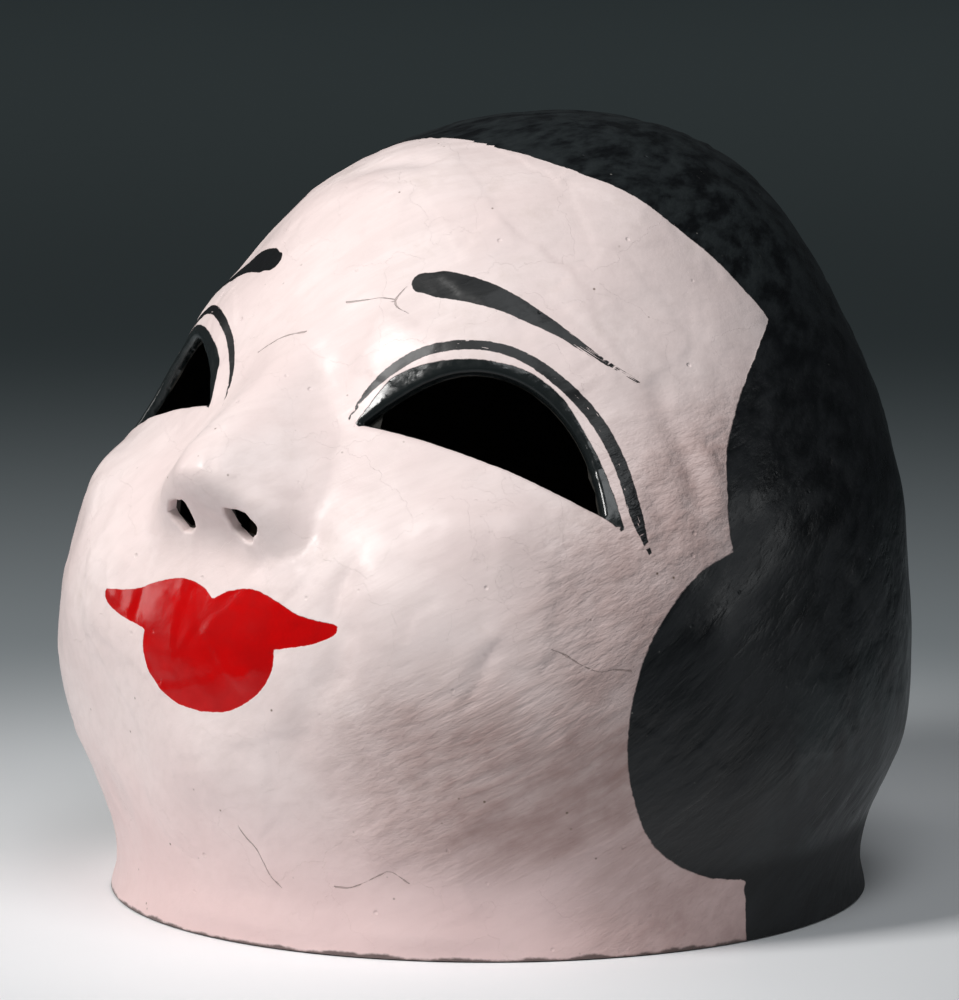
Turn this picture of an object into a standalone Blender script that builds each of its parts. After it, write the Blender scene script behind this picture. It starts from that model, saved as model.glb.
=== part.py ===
"""A painted papier-mache festival mask that is worn over the whole head.

The face half, the back half and the two halves of the neck collar are thin shells cut from one
head form. A split-bamboo hoop stiffens the bottom edge, paper strips cover the joints inside, and
a bamboo head ring with its pads hangs inside the crown and carries the mask on the wearer's head.
The head looks along -Y, +X is its left side and it stands on z = 0.
"""

import math

import bmesh
import bpy
import numpy as np
from mathutils import Matrix, Vector

MM = 0.001
COLLECTION = "full_head_mask"

# ---------------------------------------------------------------- driving dimensions (mm, degrees)
WALL = 4.5                # papier-mache wall
GAP = 0.3                 # left between touching pieces
COLLAR_TOP = 30.0         # height of the neck collar
SEAM_Y = 42.0             # the face half meets the back half on this plane
FACE_PITCH = 26.0         # how far the face looks up
FACE_PIVOT = (0.0, 0.0, 130.0)
FRAME_SHIFT = 5.0         # puts the origin under the middle of the whole mask

# height, centre y, half depth, half width, squareness of the head form's level sections
HEAD_SECTIONS = [
    (-8.0, 0.0, 152.5, 152.5, 2.0),
    (20.0, 0.0, 151.0, 151.0, 2.0),
    (34.0, 0.0, 154.0, 154.0, 2.0),
    (62.0, 1.0, 160.0, 163.0, 2.15),
    (98.0, -1.0, 162.0, 166.0, 2.25),
    (132.0, 1.0, 159.0, 164.0, 2.25),
    (167.0, 8.0, 151.0, 157.0, 2.2),
    (202.0, 19.0, 136.0, 142.0, 2.15),
    (250.0, 27.0, 112.0, 110.0, 2.1),
    (282.0, 31.0, 86.0, 80.0, 2.05),
    (300.0, 36.0, 50.0, 48.0, 2.0),
    (307.5, 37.0, 0.0, 0.0, 2.0),
]

# forms raised along the face's own axis: height, across, up, half width, half height
FACE_FORMS = {
    "cheeks": (8.0, 80.0, -50.0, 40.0, 38.0),
    "muzzle": (6.0, 0.0, -86.0, 44.0, 34.0),
    "chin": (7.0, 0.0, -128.0, 34.0, 20.0),
    "inner_eye_corners": (3.0, 40.0, 14.0, 22.0, 26.0),
    "forehead": (11.0, 0.0, 64.0, 62.0, 54.0),
    "brow_ridges": (3.0, 66.0, 52.0, 36.0, 18.0),
    "temples": (-3.0, 128.0, 30.0, 26.0, 40.0),
    "cheekbones": (5.0, 106.0, -14.0, 28.0, 16.0),
    "upper_forehead": (5.0, 0.0, 119.0, 68.0, 25.0),
    "nostril_wings": (7.0, 27.0, -32.0, 11.0, 12.0),
}
NOSE_HEIGHT = 35.0
NOSE_TIP = -21.0
NOSE_ROOT = 45.0
NOSE_REACH_UP = 42.0
NOSE_REACH_DOWN = 17.0
NOSE_HALF_WIDTH = (15.0, 27.0)

# eye openings: across and up at both corners, height of the arch and rise of the lower lid
EYE_INNER = (42.0, 14.0)
EYE_OUTER = (129.5, 4.0)
EYE_ARCH = 36.5
EYE_LID = 3.0
NOSTRIL = (16.5, -37.5)
NOSTRIL_RADIUS = 5.5

# skin resolution
SKIN_SEGMENTS = 72
SKIN_RINGS = 52
SKIN_FRONT = 0.38         # below 1 sets the columns closer together on the face
SKIN_KEEP = 0.42
SHARP_ANGLE = 40.0

# bottom hoop and inner strips
HOOP_RADIUS = 2.6
HOOP_HEIGHT = 3.4
HOOP_OUTSIDE = 146.0
STRIP_THICKNESS = 1.0
STRIP_DEPTH = WALL + 2.0 * GAP
STRIP_HALF_WIDTH = 15.0
COLLAR_STRIP = (18.0, 44.0)
SEAM_STRIP_FOOT = COLLAR_STRIP[1] + 2.0

# boxes that part the shells reach past the head; the openings' cutters reach both ways from it
BOX_SIDE = 260.0
BOX_TOP = 400.0
EYE_CUT_REACH = 14.0
NOSTRIL_CUT_REACH = 9.0

# head ring and its straps
RING_CENTRE = (0.0, 30.0, 234.0)
RING_INNER = (80.0, 97.0)
RING_THICKNESS = 2.5
RING_TALL = 24.0
RING_SEGMENTS = 40
PAD_THICKNESS = 6.0
PAD_TALL = 32.0
PAD_ROUNDING = 2.2
STRAP_THICKNESS = 1.2
STRAP_WIDTH = 20.0
STRAP_RISE = 40.0
STRAP_HOLD = 14.0
STRAP_STEPS = 16
CROWN_PAD_RADIUS = 42.0
CROWN_PAD_THICKNESS = 10.0
CROWN_BOW = 78.0
HANGER_WIDTH = 16.0
HANGER_CLEAR = 1.5
PATCH_CLEAR = 3.5
HANGER_AZIMUTHS = {"front_left": 42.0, "front_right": -42.0, "back_left": 138.0, "back_right": -138.0}
PATCH_HEIGHTS = (248.0, 272.0)
PATCH_WIDTH = 36.0


# ---------------------------------------------------------------- the head form
def smooth_step(low, high, value):
    share = np.clip((value - low) / (high - low), 0.0, 1.0)
    return share * share * (3.0 - 2.0 * share)


def section_at(share):
    """The head form's level section at shares 0 to 1 of the way from its foot to its crown."""
    rows = np.array(HEAD_SECTIONS)
    steps = np.linalg.norm(np.diff(rows[:, [0, 2]], axis=0), axis=1)
    knots = np.concatenate([[0.0], np.cumsum(steps)]) / steps.sum()
    before = 2.0 * rows[0] - rows[1]
    after = rows[-2] * np.array([1.0, 1.0, -1.0, -1.0, 1.0])
    rows = np.vstack([before, rows, after])
    knots = np.concatenate([[-knots[1]], knots, [2.0 - knots[-2]]])
    low = np.clip(np.searchsorted(knots, share, side="right") - 1, 1, len(knots) - 3)
    span = (knots[low + 1] - knots[low])[:, None]
    local = (share - knots[low])[:, None] / span

    def slope(index):
        ahead = (rows[index + 1] - rows[index]) / (knots[index + 1] - knots[index])[:, None]
        behind = (rows[index] - rows[index - 1]) / (knots[index] - knots[index - 1])[:, None]
        weight = ((knots[index] - knots[index - 1]) / (knots[index + 1] - knots[index - 1]))[:, None]
        return (ahead * weight + behind * (1.0 - weight)) * span

    cubic, square = local**3, local**2
    return ((2.0 * cubic - 3.0 * square + 1.0) * rows[low]
            + (cubic - 2.0 * square + local) * slope(low)
            + (3.0 * square - 2.0 * cubic) * rows[low + 1]
            + (cubic - square) * slope(low + 1))


def bare_form(share, turn):
    """Points of the form without its features; turn is 0 at the front and grows towards +X."""
    height, centre, depth, width, power = section_at(share).T
    depth = np.maximum(depth, 1e-6)
    width = np.maximum(width, 1e-6)
    reach = (np.abs(np.sin(turn) / width)**power + np.abs(np.cos(turn) / depth)**power)**(-1.0 / power)
    return np.column_stack([reach * np.sin(turn), centre - reach * np.cos(turn), height])


def face_axes():
    pitch = math.radians(FACE_PITCH)
    forward = np.array([0.0, -math.cos(pitch), math.sin(pitch)])
    up = np.array([0.0, math.sin(pitch), math.cos(pitch)])
    return forward, up


def face_chart(points):
    """Across, up and forward of each point, seen straight onto the face."""
    forward, up = face_axes()
    local = points - np.array(FACE_PIVOT)
    return local[:, 0], local @ up, local @ forward


def nose_relief(across, up):
    """A soft ridge that widens downwards to a round tip, with a steeper underside."""
    above = np.maximum(up - NOSE_TIP, 0.0) / NOSE_REACH_UP
    below = np.maximum(NOSE_TIP - up, 0.0) / NOSE_REACH_DOWN
    narrow, wide = NOSE_HALF_WIDTH
    half_width = wide + (narrow - wide) * smooth_step(NOSE_TIP, NOSE_ROOT, up)
    return NOSE_HEIGHT * np.exp(-above**2 - below**2.4 - np.abs(across / half_width)**2.3)


def face_relief(across, up, forward):
    side = np.abs(across)
    relief = nose_relief(side, up)
    for height, x, v, half_width, half_height in FACE_FORMS.values():
        relief += height * np.exp(-((side - x) / half_width)**2 - ((up - v) / half_height)**2)
    return relief * smooth_step(20.0, 70.0, forward)


def head_points(share, turn):
    """Points of the finished outer surface, in mm."""
    points = bare_form(share, turn)
    across, up, forward = face_chart(points)
    return points + face_relief(across, up, forward)[:, None] * face_axes()[0]


def head_normals(share, turn):
    step = 1e-3
    along = head_points(share + step, turn) - head_points(share - step, turn)
    around = head_points(share, turn + step) - head_points(share, turn - step)
    normal = np.cross(around, along)
    return normal / np.linalg.norm(normal, axis=1, keepdims=True)


def solve_form(target, guess_share, guess_turn, measure):
    """Share and turn at which measure(bare form) meets the two targets, by Newton's method."""
    share, turn = guess_share.copy(), guess_turn.copy()
    step = 1e-4
    for _ in range(25):
        here = measure(bare_form(share, turn))
        by_share = (measure(bare_form(share + step, turn)) - here) / step
        by_turn = (measure(bare_form(share, turn + step)) - here) / step
        miss = target - here
        scale = by_share[:, 0] * by_turn[:, 1] - by_share[:, 1] * by_turn[:, 0]
        share += np.clip((miss[:, 0] * by_turn[:, 1] - miss[:, 1] * by_turn[:, 0]) / scale, -0.05, 0.05)
        turn += np.clip((by_share[:, 0] * miss[:, 1] - by_share[:, 1] * miss[:, 0]) / scale, -0.2, 0.2)
    return share, turn


def on_face(across, up):
    """Surface points and normals at places given across and up the face."""
    across, up = np.asarray(across, float), np.asarray(up, float)

    def measure(points):
        x, v, _ = face_chart(points)
        return np.column_stack([x, v])

    target = np.column_stack([across, up])
    share, turn = solve_form(target, 0.45 + up / 500.0, across / 150.0, measure)
    return head_points(share, turn), head_normals(share, turn)


def on_level(height, azimuth):
    """Surface point and normal at one height and one azimuth round the neck's axis."""

    def measure(points):
        return np.column_stack([points[:, 2], np.arctan2(points[:, 0], RING_CENTRE[1] - points[:, 1])])

    turn = np.radians([azimuth])
    share, turn = solve_form(np.array([[height, turn[0]]]), np.array([0.75]), turn, measure)
    return head_points(share, turn)[0], head_normals(share, turn)[0]


# ---------------------------------------------------------------- scene helpers
def clear_scene():
    for item in list(bpy.data.objects):
        bpy.data.objects.remove(item, do_unlink=True)
    for group in list(bpy.data.collections):
        bpy.data.collections.remove(group)


def new_collection(name):
    group = bpy.data.collections.new(name)
    bpy.context.scene.collection.children.link(group)
    return group


def material(name, colour, roughness, metallic=0.0):
    made = bpy.data.materials.new(name)
    made.use_nodes = True
    shader = made.node_tree.nodes["Principled BSDF"]
    shader.inputs["Base Color"].default_value = (*colour, 1.0)
    shader.inputs["Roughness"].default_value = roughness
    shader.inputs["Metallic"].default_value = metallic
    return made


def object_from(bm, name, group):
    mesh = bpy.data.meshes.new(name)
    bm.normal_update()
    bm.to_mesh(mesh)
    bm.free()
    made = bpy.data.objects.new(name, mesh)
    group.objects.link(made)
    return made


def finish_piece(piece, parent, surface):
    piece.parent = parent
    piece.data.materials.append(surface)
    piece.data.shade_smooth()
    piece.data.set_sharp_from_angle(angle=math.radians(SHARP_ANGLE))
    return piece


def add_modifier(piece, kind, **values):
    made = piece.modifiers.new(kind.lower(), kind)
    for key, value in values.items():
        setattr(made, key, value)
    return made


def cut(piece, cutter, operation="DIFFERENCE"):
    return add_modifier(piece, "BOOLEAN", object=cutter, operation=operation, solver="EXACT")


def box_cutter(name, low, high, group, parent):
    bm = bmesh.new()
    bmesh.ops.create_cube(bm, size=1.0)
    size = [(b - a) * MM for a, b in zip(low, high)]
    middle = [(b + a) / 2.0 * MM for a, b in zip(low, high)]
    bmesh.ops.transform(bm, matrix=Matrix.Translation(middle) @ Matrix.Diagonal((*size, 1.0)), verts=bm.verts)
    return as_cutter(object_from(bm, name, group), parent)


def as_cutter(piece, parent):
    piece.parent = parent
    piece.hide_render = True
    piece.display_type = "WIRE"
    return piece


# ---------------------------------------------------------------- shells
def head_skin(name, group):
    """The outer surface as an open mesh; its foot is left open."""
    bm = bmesh.new()
    bmesh.ops.create_uvsphere(bm, u_segments=SKIN_SEGMENTS, v_segments=SKIN_RINGS, radius=1.0)
    foot = min(bm.verts, key=lambda vert: vert.co.z)
    bmesh.ops.delete(bm, geom=[foot], context="VERTS")
    places = np.array([vert.co for vert in bm.verts])
    rise = np.degrees(np.arcsin(np.clip(places[:, 2], -1.0, 1.0))) + 90.0
    first = 180.0 / SKIN_RINGS
    share = (rise - first) / (180.0 - first)
    part_turn = np.arctan2(places[:, 0], -places[:, 1]) / math.pi
    turn = math.pi * (SKIN_FRONT * part_turn + (1.0 - SKIN_FRONT) * part_turn**3)
    points = head_points(share, turn)
    for vert, point in zip(bm.verts, points):
        vert.co = Vector(point * MM)
    bmesh.ops.recalc_face_normals(bm, faces=bm.faces)
    crown = max(bm.verts, key=lambda vert: vert.co.z)
    if crown.normal.z < 0.0:
        bmesh.ops.reverse_faces(bm, faces=bm.faces)
    return object_from(bm, name, group)


def layer(name, group, parent, surface, box, depth, thickness):
    """The part inside box of a layer that lies depth below the head's outer surface."""
    piece = head_skin(name, group)
    add_modifier(piece, "DECIMATE", ratio=SKIN_KEEP, use_symmetry=True, symmetry_axis="X")
    add_modifier(piece, "SOLIDIFY", thickness=thickness * MM, offset=-1.0 - 2.0 * depth / thickness)
    cut(piece, box, "INTERSECT")
    return finish_piece(piece, parent, surface)


def eye_outline(side):
    """The crescent opening, counted round once: straight lower lid, arched upper lid."""
    share = np.linspace(0.0, 1.0, 15)
    inner, outer = np.array(EYE_INNER), np.array(EYE_OUTER)
    lower = inner + (outer - inner) * share[:, None]
    bow = 4.0 * share * (1.0 - share)
    upper = lower + np.column_stack([np.zeros_like(bow), EYE_ARCH * bow])
    lower += np.column_stack([np.zeros_like(bow), EYE_LID * bow])
    outline = np.vstack([lower[::2], upper[-2:0:-1]])
    return outline * np.array([side, 1.0])


def nostril_outline(side):
    angle = np.linspace(0.0, 2.0 * math.pi, 10, endpoint=False)
    across = NOSTRIL[0] + 1.25 * NOSTRIL_RADIUS * np.cos(angle)
    up = NOSTRIL[1] + 0.8 * NOSTRIL_RADIUS * np.sin(angle)
    return np.column_stack([across, up]) * np.array([side, 1.0])


def normal_cutter(name, outline, reach, group, parent):
    """A cutter that follows the outline and stands square to the surface, reach on both sides."""
    points, normals = on_face(outline[:, 0], outline[:, 1])
    bm = bmesh.new()
    rings = []
    for offset in (-reach, reach):
        ring = points + offset * normals
        rings.append([bm.verts.new(point * MM) for point in ring])
    count = len(outline)
    for index in range(count):
        after = (index + 1) % count
        bm.faces.new((rings[0][index], rings[0][after], rings[1][after], rings[1][index]))
    for ring in rings:
        centre = bm.verts.new(sum((vert.co for vert in ring), Vector()) / count)
        for index in range(count):
            bm.faces.new((ring[index], ring[(index + 1) % count], centre))
    bmesh.ops.recalc_face_normals(bm, faces=bm.faces)
    return as_cutter(object_from(bm, name, group), parent)


def build_shells(parts, cutters, frame, paper, strip_paper):
    side = BOX_SIDE
    seam = GAP / 2.0
    foot = COLLAR_TOP + seam
    boxes = {
        "face_shell": ((-side, -side, foot), (side, SEAM_Y - seam, BOX_TOP)),
        "back_shell": ((-side, SEAM_Y + seam, foot), (side, side, BOX_TOP)),
        "neck_collar_front": ((-side, -side, 0.0), (side, SEAM_Y - seam, COLLAR_TOP - seam)),
        "neck_collar_back": ((-side, SEAM_Y + seam, 0.0), (side, side, COLLAR_TOP - seam)),
    }
    shells = {}
    for name, (low, high) in boxes.items():
        box = box_cutter(f"{name}_box", low, high, cutters, frame)
        shells[name] = layer(name, parts, frame, paper, box, 0.0, WALL)
    for mirror, word in ((1.0, "left"), (-1.0, "right")):
        eye = normal_cutter(f"{word}_eye_cutter", eye_outline(mirror), EYE_CUT_REACH, cutters, frame)
        cut(shells["face_shell"], eye)
        nostril = normal_cutter(f"{word}_nostril_cutter", nostril_outline(mirror), NOSTRIL_CUT_REACH,
                                cutters, frame)
        cut(shells["face_shell"], nostril)
    strips = {
        "seam_strip": ((-side, SEAM_Y - STRIP_HALF_WIDTH, SEAM_STRIP_FOOT),
                       (side, SEAM_Y + STRIP_HALF_WIDTH, BOX_TOP)),
        "collar_strip": ((-side, -side, COLLAR_STRIP[0]), (side, side, COLLAR_STRIP[1])),
    }
    for name, (low, high) in strips.items():
        box = box_cutter(f"{name}_box", low, high, cutters, frame)
        layer(name, parts, frame, strip_paper, box, STRIP_DEPTH, STRIP_THICKNESS)


# ---------------------------------------------------------------- hoop, ring, pads and straps
def build_hoop(parts, frame, bamboo):
    radius = HOOP_OUTSIDE - HOOP_RADIUS
    bpy.ops.mesh.primitive_torus_add(major_segments=40, minor_segments=8, major_radius=radius * MM,
                                     minor_radius=HOOP_RADIUS * MM, location=(0.0, 0.0, HOOP_HEIGHT * MM))
    hoop = bpy.context.object
    hoop.name = "rim_hoop"
    for group in list(hoop.users_collection):
        group.objects.unlink(hoop)
    parts.objects.link(hoop)
    finish_piece(hoop, frame, bamboo)


def oval_band(name, inner, thickness, tall, rounding, parts, frame, surface):
    """An upright oval band: an open oval wall, thickened outwards."""
    bm = bmesh.new()
    bmesh.ops.create_cone(bm, cap_ends=False, segments=RING_SEGMENTS, radius1=1.0, radius2=1.0, depth=1.0)
    size = Matrix.Diagonal((inner[0] * MM, inner[1] * MM, tall * MM, 1.0))
    bmesh.ops.transform(bm, matrix=size, verts=bm.verts)
    band = object_from(bm, name, parts)
    band.location = Vector(RING_CENTRE) * MM
    add_modifier(band, "SOLIDIFY", thickness=thickness * MM, offset=1.0, use_even_offset=True)
    if rounding:
        add_modifier(band, "BEVEL", width=rounding * MM, segments=2, limit_method="ANGLE")
    return finish_piece(band, frame, surface)


def ribbon(name, path, sideways, width, parts, frame, surface):
    """A flat tape along a path; sideways is the direction of its width."""
    bm = bmesh.new()
    bmesh.ops.create_grid(bm, x_segments=len(path) - 1, y_segments=2, size=1.0)
    for vert in bm.verts:
        index = round((vert.co.x + 1.0) / 2.0 * (len(path) - 1))
        place = Vector(path[index]) + Vector(sideways) * (vert.co.y * width / 2.0)
        vert.co = place * MM
    tape = object_from(bm, name, parts)
    add_modifier(tape, "SOLIDIFY", thickness=STRAP_THICKNESS * MM, offset=0.0, use_even_offset=True)
    return finish_piece(tape, frame, surface)


def crown_strap(name, along, reach, rise, parts, frame, surface):
    """A tape that hugs the ring's outer face on two sides and arches over the crown."""
    half = reach + RING_THICKNESS + GAP + STRAP_THICKNESS
    arch = [math.pi * step / STRAP_STEPS for step in range(STRAP_STEPS + 1)]
    ring_top = RING_TALL / 2.0
    places = [(half * math.cos(angle), ring_top + rise * math.sin(angle)) for angle in arch]
    places = [(half, ring_top - STRAP_HOLD)] + places + [(-half, ring_top - STRAP_HOLD)]
    centre = Vector(RING_CENTRE)
    along = Vector(along)
    path = [centre + along * out + Vector((0.0, 0.0, up)) for out, up in places]
    ribbon(name, path, along.cross(Vector((0.0, 0.0, 1.0))), STRAP_WIDTH, parts, frame, surface)


def build_crown_pad(parts, frame, cloth):
    """A round cushion under the crossing of the straps, bowed like the straps."""
    bm = bmesh.new()
    bmesh.ops.create_uvsphere(bm, u_segments=24, v_segments=10, radius=1.0)
    half = CROWN_PAD_THICKNESS / 2.0
    middle = RING_CENTRE[2] + RING_TALL / 2.0 + STRAP_RISE - STRAP_THICKNESS - GAP - half
    for vert in bm.verts:
        x, y = vert.co.x * CROWN_PAD_RADIUS, vert.co.y * CROWN_PAD_RADIUS
        droop = STRAP_RISE * (1.0 - math.sqrt(1.0 - (x * x + y * y) / CROWN_BOW**2))
        vert.co = Vector((x, y, vert.co.z * half - droop)) * MM
    pad = object_from(bm, "crown_pad", parts)
    pad.location = Vector((RING_CENTRE[0], RING_CENTRE[1], middle)) * MM
    finish_piece(pad, frame, cloth)


def build_hanger(word, azimuth, parts, cutters, frame, tape, paper):
    """A tape from the ring's outer face up to a paper patch on the shell's inner wall."""
    turn = math.radians(azimuth)
    toward = Vector((math.sin(turn), -math.cos(turn), 0.0))
    semi = [inner + RING_THICKNESS for inner in RING_INNER]
    place = toward / math.hypot(toward.x / semi[0], toward.y / semi[1])
    outward = Vector((place.x / semi[0]**2, place.y / semi[1]**2, 0.0)).normalized()
    sideways = Vector((-outward.y, outward.x, 0.0))
    on_ring = Vector(RING_CENTRE) + place + outward * HANGER_CLEAR
    path = [on_ring + Vector((0.0, 0.0, rise)) for rise in (-8.0, 8.0)]
    inside = STRIP_DEPTH + STRIP_THICKNESS + PATCH_CLEAR
    low, high = PATCH_HEIGHTS
    for height in (low + 5.0, (low + high) / 2.0, high - 3.0):
        point, normal = on_level(height, azimuth)
        path.append(Vector(point - normal * inside))
    ribbon(f"hanger_{word}", path, sideways, HANGER_WIDTH, parts, frame, tape)
    point, _ = on_level((low + high) / 2.0, azimuth)
    size = (PATCH_WIDTH, PATCH_WIDTH, high - low)
    block = box_cutter(f"patch_{word}_box", [-side / 2.0 for side in size], [side / 2.0 for side in size],
                       cutters, frame)
    block.location = Vector(point) * MM
    block.rotation_euler = (0.0, 0.0, turn)
    layer(f"anchor_patch_{word}", parts, frame, paper, block, STRIP_DEPTH, STRIP_THICKNESS)


def main():
    clear_scene()
    parts = new_collection(COLLECTION)
    cutters = new_collection("cutters")
    frame = bpy.data.objects.new("mask_frame", None)
    parts.objects.link(frame)
    frame.location = (0.0, FRAME_SHIFT * MM, 0.0)

    paper = material("painted_paper", (0.80, 0.71, 0.69), 0.28)
    strip_paper = material("strip_paper", (0.55, 0.46, 0.34), 0.85)
    bamboo = material("split_bamboo", (0.62, 0.45, 0.22), 0.55)
    cloth = material("pad_cloth", (0.20, 0.22, 0.30), 0.90)
    tape = material("cotton_tape", (0.62, 0.58, 0.48), 0.85)

    build_shells(parts, cutters, frame, paper, strip_paper)
    build_hoop(parts, frame, bamboo)
    oval_band("head_ring", RING_INNER, RING_THICKNESS, RING_TALL, 0.0, parts, frame, bamboo)
    pad_inner = [inner - GAP - PAD_THICKNESS for inner in RING_INNER]
    oval_band("ring_pad", pad_inner, PAD_THICKNESS, PAD_TALL, PAD_ROUNDING, parts, frame, cloth)
    crown_strap("crown_strap_cross", (1.0, 0.0, 0.0), RING_INNER[0], STRAP_RISE, parts, frame, tape)
    above = STRAP_RISE + STRAP_THICKNESS + 2.0 * GAP
    crown_strap("crown_strap_long", (0.0, 1.0, 0.0), RING_INNER[1], above, parts, frame, tape)
    build_crown_pad(parts, frame, cloth)
    for word, azimuth in HANGER_AZIMUTHS.items():
        build_hanger(word, azimuth, parts, cutters, frame, tape, paper)


main()
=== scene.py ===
"""Looks for the full-head papier-mache festival mask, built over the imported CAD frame.

The four shells, the inner strips, the pads and the tapes are rebuilt as finished pieces in the
places of their CAD nodes; the split-bamboo hoop and ring stay and get better materials. Lengths
are millimetres in the mask's own frame until world() turns them into metres.
"""

import math

import bmesh
import bpy
import numpy as np
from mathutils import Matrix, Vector

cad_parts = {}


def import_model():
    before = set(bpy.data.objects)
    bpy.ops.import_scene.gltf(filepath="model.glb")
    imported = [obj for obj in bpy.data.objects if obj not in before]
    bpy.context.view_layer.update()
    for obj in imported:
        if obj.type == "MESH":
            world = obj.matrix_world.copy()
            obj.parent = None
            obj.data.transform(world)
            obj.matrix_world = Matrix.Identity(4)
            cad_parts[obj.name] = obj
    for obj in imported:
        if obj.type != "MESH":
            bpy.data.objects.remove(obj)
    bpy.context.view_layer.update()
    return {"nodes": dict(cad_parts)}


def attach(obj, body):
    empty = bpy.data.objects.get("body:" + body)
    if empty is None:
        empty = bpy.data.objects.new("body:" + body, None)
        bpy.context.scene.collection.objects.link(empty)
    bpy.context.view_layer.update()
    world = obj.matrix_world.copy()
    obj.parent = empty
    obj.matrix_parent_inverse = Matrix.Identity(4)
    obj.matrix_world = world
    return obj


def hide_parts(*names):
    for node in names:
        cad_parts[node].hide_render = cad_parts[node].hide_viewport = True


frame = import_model()

MM = 0.001
FRAME_SHIFT = 5.0
WALL = 4.5
GAP = 0.3
COLLAR_TOP = 30.0
SEAM_Y = 42.0
FACE_PITCH = 26.0
FACE_PIVOT = (0.0, 0.0, 130.0)

# ---------------------------------------------------------------- the head form, as in the CAD
# height, centre y, half depth, half width, squareness of the head form's level sections
HEAD_SECTIONS = [
    (-8.0, 0.0, 152.5, 152.5, 2.0),
    (20.0, 0.0, 151.0, 151.0, 2.0),
    (34.0, 0.0, 154.0, 154.0, 2.0),
    (62.0, 1.0, 160.0, 163.0, 2.15),
    (98.0, -1.0, 162.0, 166.0, 2.25),
    (132.0, 1.0, 159.0, 164.0, 2.25),
    (167.0, 8.0, 151.0, 157.0, 2.2),
    (202.0, 19.0, 136.0, 142.0, 2.15),
    (250.0, 27.0, 112.0, 110.0, 2.1),
    (282.0, 31.0, 86.0, 80.0, 2.05),
    (300.0, 36.0, 50.0, 48.0, 2.0),
    (307.5, 37.0, 0.0, 0.0, 2.0),
]

# forms raised along the face's own axis: height, across, up, half width, half height
FACE_FORMS = {
    "cheeks": (8.0, 80.0, -50.0, 40.0, 38.0),
    "muzzle": (6.0, 0.0, -86.0, 44.0, 34.0),
    "chin": (7.0, 0.0, -128.0, 34.0, 20.0),
    "inner_eye_corners": (3.0, 40.0, 14.0, 22.0, 26.0),
    "forehead": (11.0, 0.0, 64.0, 62.0, 54.0),
    "brow_ridges": (3.0, 66.0, 52.0, 36.0, 18.0),
    "temples": (-3.0, 128.0, 30.0, 26.0, 40.0),
    "cheekbones": (5.0, 106.0, -14.0, 28.0, 16.0),
    "upper_forehead": (5.0, 0.0, 119.0, 68.0, 25.0),
    "nostril_wings": (7.0, 27.0, -32.0, 11.0, 12.0),
}
NOSE_HEIGHT = 35.0
NOSE_TIP = -21.0
NOSE_ROOT = 45.0
NOSE_REACH_UP = 42.0
NOSE_REACH_DOWN = 17.0
NOSE_HALF_WIDTH = (15.0, 27.0)
EYE_INNER = (42.0, 14.0)
EYE_OUTER = (129.5, 4.0)
EYE_ARCH = 36.5
EYE_LID = 3.0
NOSTRIL = (16.5, -37.5)
NOSTRIL_RADIUS = 5.5


def smooth_step(low, high, value):
    share = np.clip((value - low) / (high - low), 0.0, 1.0)
    return share * share * (3.0 - 2.0 * share)


def section_at(share):
    """The head form's level section at shares 0 to 1 of the way from its foot to its crown."""
    rows = np.array(HEAD_SECTIONS)
    steps = np.linalg.norm(np.diff(rows[:, [0, 2]], axis=0), axis=1)
    knots = np.concatenate([[0.0], np.cumsum(steps)]) / steps.sum()
    before = 2.0 * rows[0] - rows[1]
    after = rows[-2] * np.array([1.0, 1.0, -1.0, -1.0, 1.0])
    rows = np.vstack([before, rows, after])
    knots = np.concatenate([[-knots[1]], knots, [2.0 - knots[-2]]])
    low = np.clip(np.searchsorted(knots, share, side="right") - 1, 1, len(knots) - 3)
    span = (knots[low + 1] - knots[low])[:, None]
    local = (share - knots[low])[:, None] / span

    def slope(index):
        ahead = (rows[index + 1] - rows[index]) / (knots[index + 1] - knots[index])[:, None]
        behind = (rows[index] - rows[index - 1]) / (knots[index] - knots[index - 1])[:, None]
        weight = ((knots[index] - knots[index - 1]) / (knots[index + 1] - knots[index - 1]))[:, None]
        return (ahead * weight + behind * (1.0 - weight)) * span

    cubic, square = local**3, local**2
    return ((2.0 * cubic - 3.0 * square + 1.0) * rows[low]
            + (cubic - 2.0 * square + local) * slope(low)
            + (3.0 * square - 2.0 * cubic) * rows[low + 1]
            + (cubic - square) * slope(low + 1))


def bare_form(share, turn):
    """Points of the form without its features; turn is 0 at the front and grows towards +X."""
    height, centre, depth, width, power = section_at(share).T
    depth = np.maximum(depth, 1e-6)
    width = np.maximum(width, 1e-6)
    reach = (np.abs(np.sin(turn) / width)**power + np.abs(np.cos(turn) / depth)**power)**(-1.0 / power)
    return np.column_stack([reach * np.sin(turn), centre - reach * np.cos(turn), height])


def face_axes():
    pitch = math.radians(FACE_PITCH)
    forward = np.array([0.0, -math.cos(pitch), math.sin(pitch)])
    up = np.array([0.0, math.sin(pitch), math.cos(pitch)])
    return forward, up


def face_chart(points):
    """Across, up and forward of each point, seen straight onto the face."""
    forward, up = face_axes()
    local = points - np.array(FACE_PIVOT)
    return local[:, 0], local @ up, local @ forward


def nose_relief(across, up):
    """A soft ridge that widens downwards to a round tip, with a steeper underside."""
    above = np.maximum(up - NOSE_TIP, 0.0) / NOSE_REACH_UP
    below = np.maximum(NOSE_TIP - up, 0.0) / NOSE_REACH_DOWN
    narrow, wide = NOSE_HALF_WIDTH
    half_width = wide + (narrow - wide) * smooth_step(NOSE_TIP, NOSE_ROOT, up)
    return NOSE_HEIGHT * np.exp(-above**2 - below**2.4 - np.abs(across / half_width)**2.3)


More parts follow.
